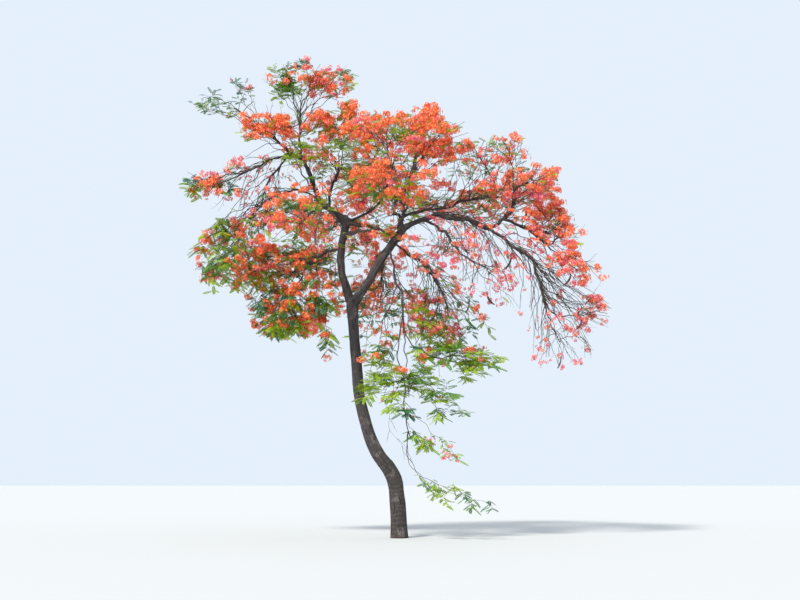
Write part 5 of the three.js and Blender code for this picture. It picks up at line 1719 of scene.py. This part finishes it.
def placed_flowers(middle, facing, petal, away, turn):
    """Corners of many flowers: each is turned round its own face by turn and then set to face its
    way. The stalk is stretched so that it reaches back to the twiglet."""
    side = unit(np.cross(facing, NEARLY_UP))
    other = np.cross(facing, side)
    c, s = np.cos(turn)[:, None, None], np.sin(turn)[:, None, None]
    across, over = c * side[:, None] + s * other[:, None], c * other[:, None] - s * side[:, None]
    x, y, z = (FLOWER_CORNERS[None, :, axis, None] for axis in range(3))
    reach = (away / petal / STALK_SHARE)[:, None, None]
    z = np.where(z < 0, z * reach, z)
    return middle[:, None] + petal[:, None, None] * (x * across + y * over + z * facing[:, None])


flower_middle, flower_facing, flower_petal, flower_away, flower_spray = flower_places()
flower_turn = 2 * np.pi * chance(flower_spray, np.arange(len(flower_spray)) % TURN_CYCLE, 45)
print("flowers:", len(flower_middle))

# %% [markdown]
# A bunch is bright orange in the thick of the bloom, and scarlet or crimson where it is older,
# poorer or shaded, and its flowers differ a little. One painted gradient over the crown would
# look airbrushed, so a number for each flower adds all that up, and two limits turn the number
# into one of three finishes. The standard petal and the stalk have finishes of their own.

# %% Blossom pieces
PETAL_TINTS = (0.50, 0.74)  # under these a flower is orange, then scarlet, then crimson
SHADE_SHIFT = 0.35  # how much redder the bunches are at the foot of a mass than at its top
THIN_SHIFT = 1.0  # and in a mass that keeps few of its shoots
POOR_SHIFT = 0.5  # and on twigs whose bunches are poor
FLOWER_SHIFT = 0.45  # and how far the flowers of one bunch differ
FLOWER_CYCLE = 89  # flowers are counted round this cycle for that
STANDARD, STALK = 3, 4  # the places of their finishes in the list below
BLOSSOM_FINISHES = PETAL_FINISHES + [LEAF_FINISHES[1]]

for k, region in enumerate(REGIONS):
    chosen = REGION_OF[sprays.mass[flower_spray]] == k
    corners = placed_flowers(
        flower_middle[chosen], flower_facing[chosen], flower_petal[chosen],
        flower_away[chosen], flower_turn[chosen],
    )
    corner_count, copies = len(FLOWER_CORNERS), len(corners)
    faces = [copied_faces(part, corner_count, copies) for part in (PETAL_FACES, STALK_FACE)]
    spray = flower_spray[chosen]
    thin, poor = 0.5 - GROWN.full[sprays.mass[spray]], 1 - sprays.rich[spray]
    redness = sprays.luck[spray, PETAL_LUCK] + SHADE_SHIFT * (0.5 - sprays.light[spray])
    redness += THIN_SHIFT * thin + POOR_SHIFT * poor
    redness += FLOWER_SHIFT * (chance(spray, np.arange(copies) % FLOWER_CYCLE, 46) - 0.5)
    petal_finish = np.repeat(np.digitize(redness, PETAL_TINTS)[:, None], PETALS, axis=1)
    petal_finish[:, -1] = STANDARD
    finish = np.concatenate([petal_finish.ravel(), np.full(copies, STALK)])
    piece = new_piece(f"blossom_{region}", corners.reshape(-1, 3), faces, BLOSSOM_FINISHES, finish)
    finish_piece(piece, region)

# %% [markdown]
# ## Pods
# Last year's pods still hang on the tree: flat, dark and bent like a sickle, up to half a metre
# long. A few show against the sky. Each is a tube along an arc whose section is squashed flat, so
# the shape is one function of the arc's angle and the angle round it.

# %% Pods
# Some pods are seen clearly against the sky, and the rest hang from sprays picked by chance
PODS_BY_HAND = np.array([
    [-4.46, -0.50, 10.82], [-4.12, -0.20, 9.32], [4.69, -0.30, 6.89], [4.79, -0.30, 6.51],
    [4.67, -0.20, 6.25], [4.43, -0.40, 4.94],
])
POD_COUNT = 30
POD_SPACING = 0.6  # no two pods hang nearer to each other
POD_MASSES = ["east_droop", "east_tip", "mid_droop", "front_east", "east_edge", "west_mid", "back_east"]
POD_LENGTHS = (0.34, 0.52)
POD_WIDTH = 0.058
POD_FLATNESS = 0.28
POD_TURN = 1.15  # radians of arc from stalk to tip
POD_RINGS, POD_SIDES = 18, 8
POD_ENDS, POD_POWER = (0.02, 0.985), 0.45
POD_BEADS, BEAD_RISE = 9, 0.06  # the swellings over the seeds
POD_SEED = 7
POD_COLOR, POD_WORN = (0.035, 0.02, 0.022, 1), (0.11, 0.065, 0.05, 1)


def pod_material():
    """Nearly black brown, with fine wrinkles and worn paler patches."""
    material, tree, shader = fresh_material("pod skin", 0.55, 0.4)
    place = own_place(tree)
    color = blended(tree, ranged(tree, noise(tree, place, 9.0, 3.0), 0.45, 0.75), POD_COLOR, POD_WORN)
    color_and_relief(tree, shader, color, noise(tree, place, 70.0, 2.0), 0.003, 0.7)
    return material


def pod_shape():
    """The middle line is an arc; the half width is a sine that rises fast, swells a little over each
    seed and ends in a point; the thickness is the width times the flatness."""
    t = np.linspace(0, 1, POD_RINGS)
    turn = POD_TURN * t
    radius = 1 / POD_TURN
    line = np.stack([radius * (1 - np.cos(turn)), 0 * t, -radius * np.sin(turn)], axis=-1)
    outward = np.stack([-np.cos(turn), 0 * t, -np.sin(turn)], axis=-1)
    beads = 1 + BEAD_RISE * np.cos(2 * np.pi * POD_BEADS * t)
    width = (np.sin(np.pi * np.clip(t, *POD_ENDS)) ** POD_POWER * beads)[:, None, None]
    angle = (2 * np.pi * np.arange(POD_SIDES) / POD_SIDES)[:, None]
    section = np.cos(angle) * outward[:, None] + POD_FLATNESS * np.sin(angle) * np.array([0, 1, 0])
    number = np.arange(POD_RINGS * POD_SIDES).reshape(POD_RINGS, POD_SIDES)
    beside = np.roll(number, -1, axis=1)
    walls = np.stack([number[:-1], number[1:], beside[1:], beside[:-1]], axis=-1).reshape(-1, 4)
    return line[:, None], width * section, walls, np.stack([number[0], number[-1, ::-1]])


pod_line, pod_section, pod_walls, pod_caps = pod_shape()
open_masses = np.flatnonzero(np.isin(sprays.mass, [MASS_NAMES.index(name) for name in POD_MASSES]))
by_chance = np.arange(POD_COUNT - len(PODS_BY_HAND))
picked = open_masses[(chance(POD_SEED, by_chance, 61) * len(open_masses)).astype(int)]
away = np.linalg.norm(sprays.tip[None] - PODS_BY_HAND[:, None], axis=-1)
carrier = np.concatenate([np.argmin(away, axis=1), picked])
apart = np.linalg.norm(sprays.tip[carrier][None] - sprays.tip[carrier][:, None], axis=-1)
carrier = carrier[~np.tril(apart < POD_SPACING, -1).any(axis=1)]
pod_number = np.arange(len(carrier))
pod_length = mixed(*POD_LENGTHS, chance(POD_SEED, pod_number, 62))
facing = 2 * np.pi * chance(POD_SEED, pod_number, 63)
c, s = np.cos(facing)[:, None, None], np.sin(facing)[:, None, None]
shape = pod_length[:, None, None, None] * pod_line + POD_WIDTH / 2 * pod_section
x, y, z = shape[..., 0], shape[..., 1], shape[..., 2]
corners = np.stack([c * x - s * y, s * x + c * y, z], axis=-1) + sprays.tip[carrier][:, None, None]
corner_count = POD_RINGS * POD_SIDES
faces = [copied_faces(part, corner_count, len(carrier)) for part in (pod_walls, pod_caps)]
pods = new_piece("pods", corners.reshape(-1, 3), faces, [pod_material()])
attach(pods, "root")
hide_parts(*[f"mass_{MASS_NAMES[mass]}" for mass in sorted(set(sprays.mass[carrier]))])
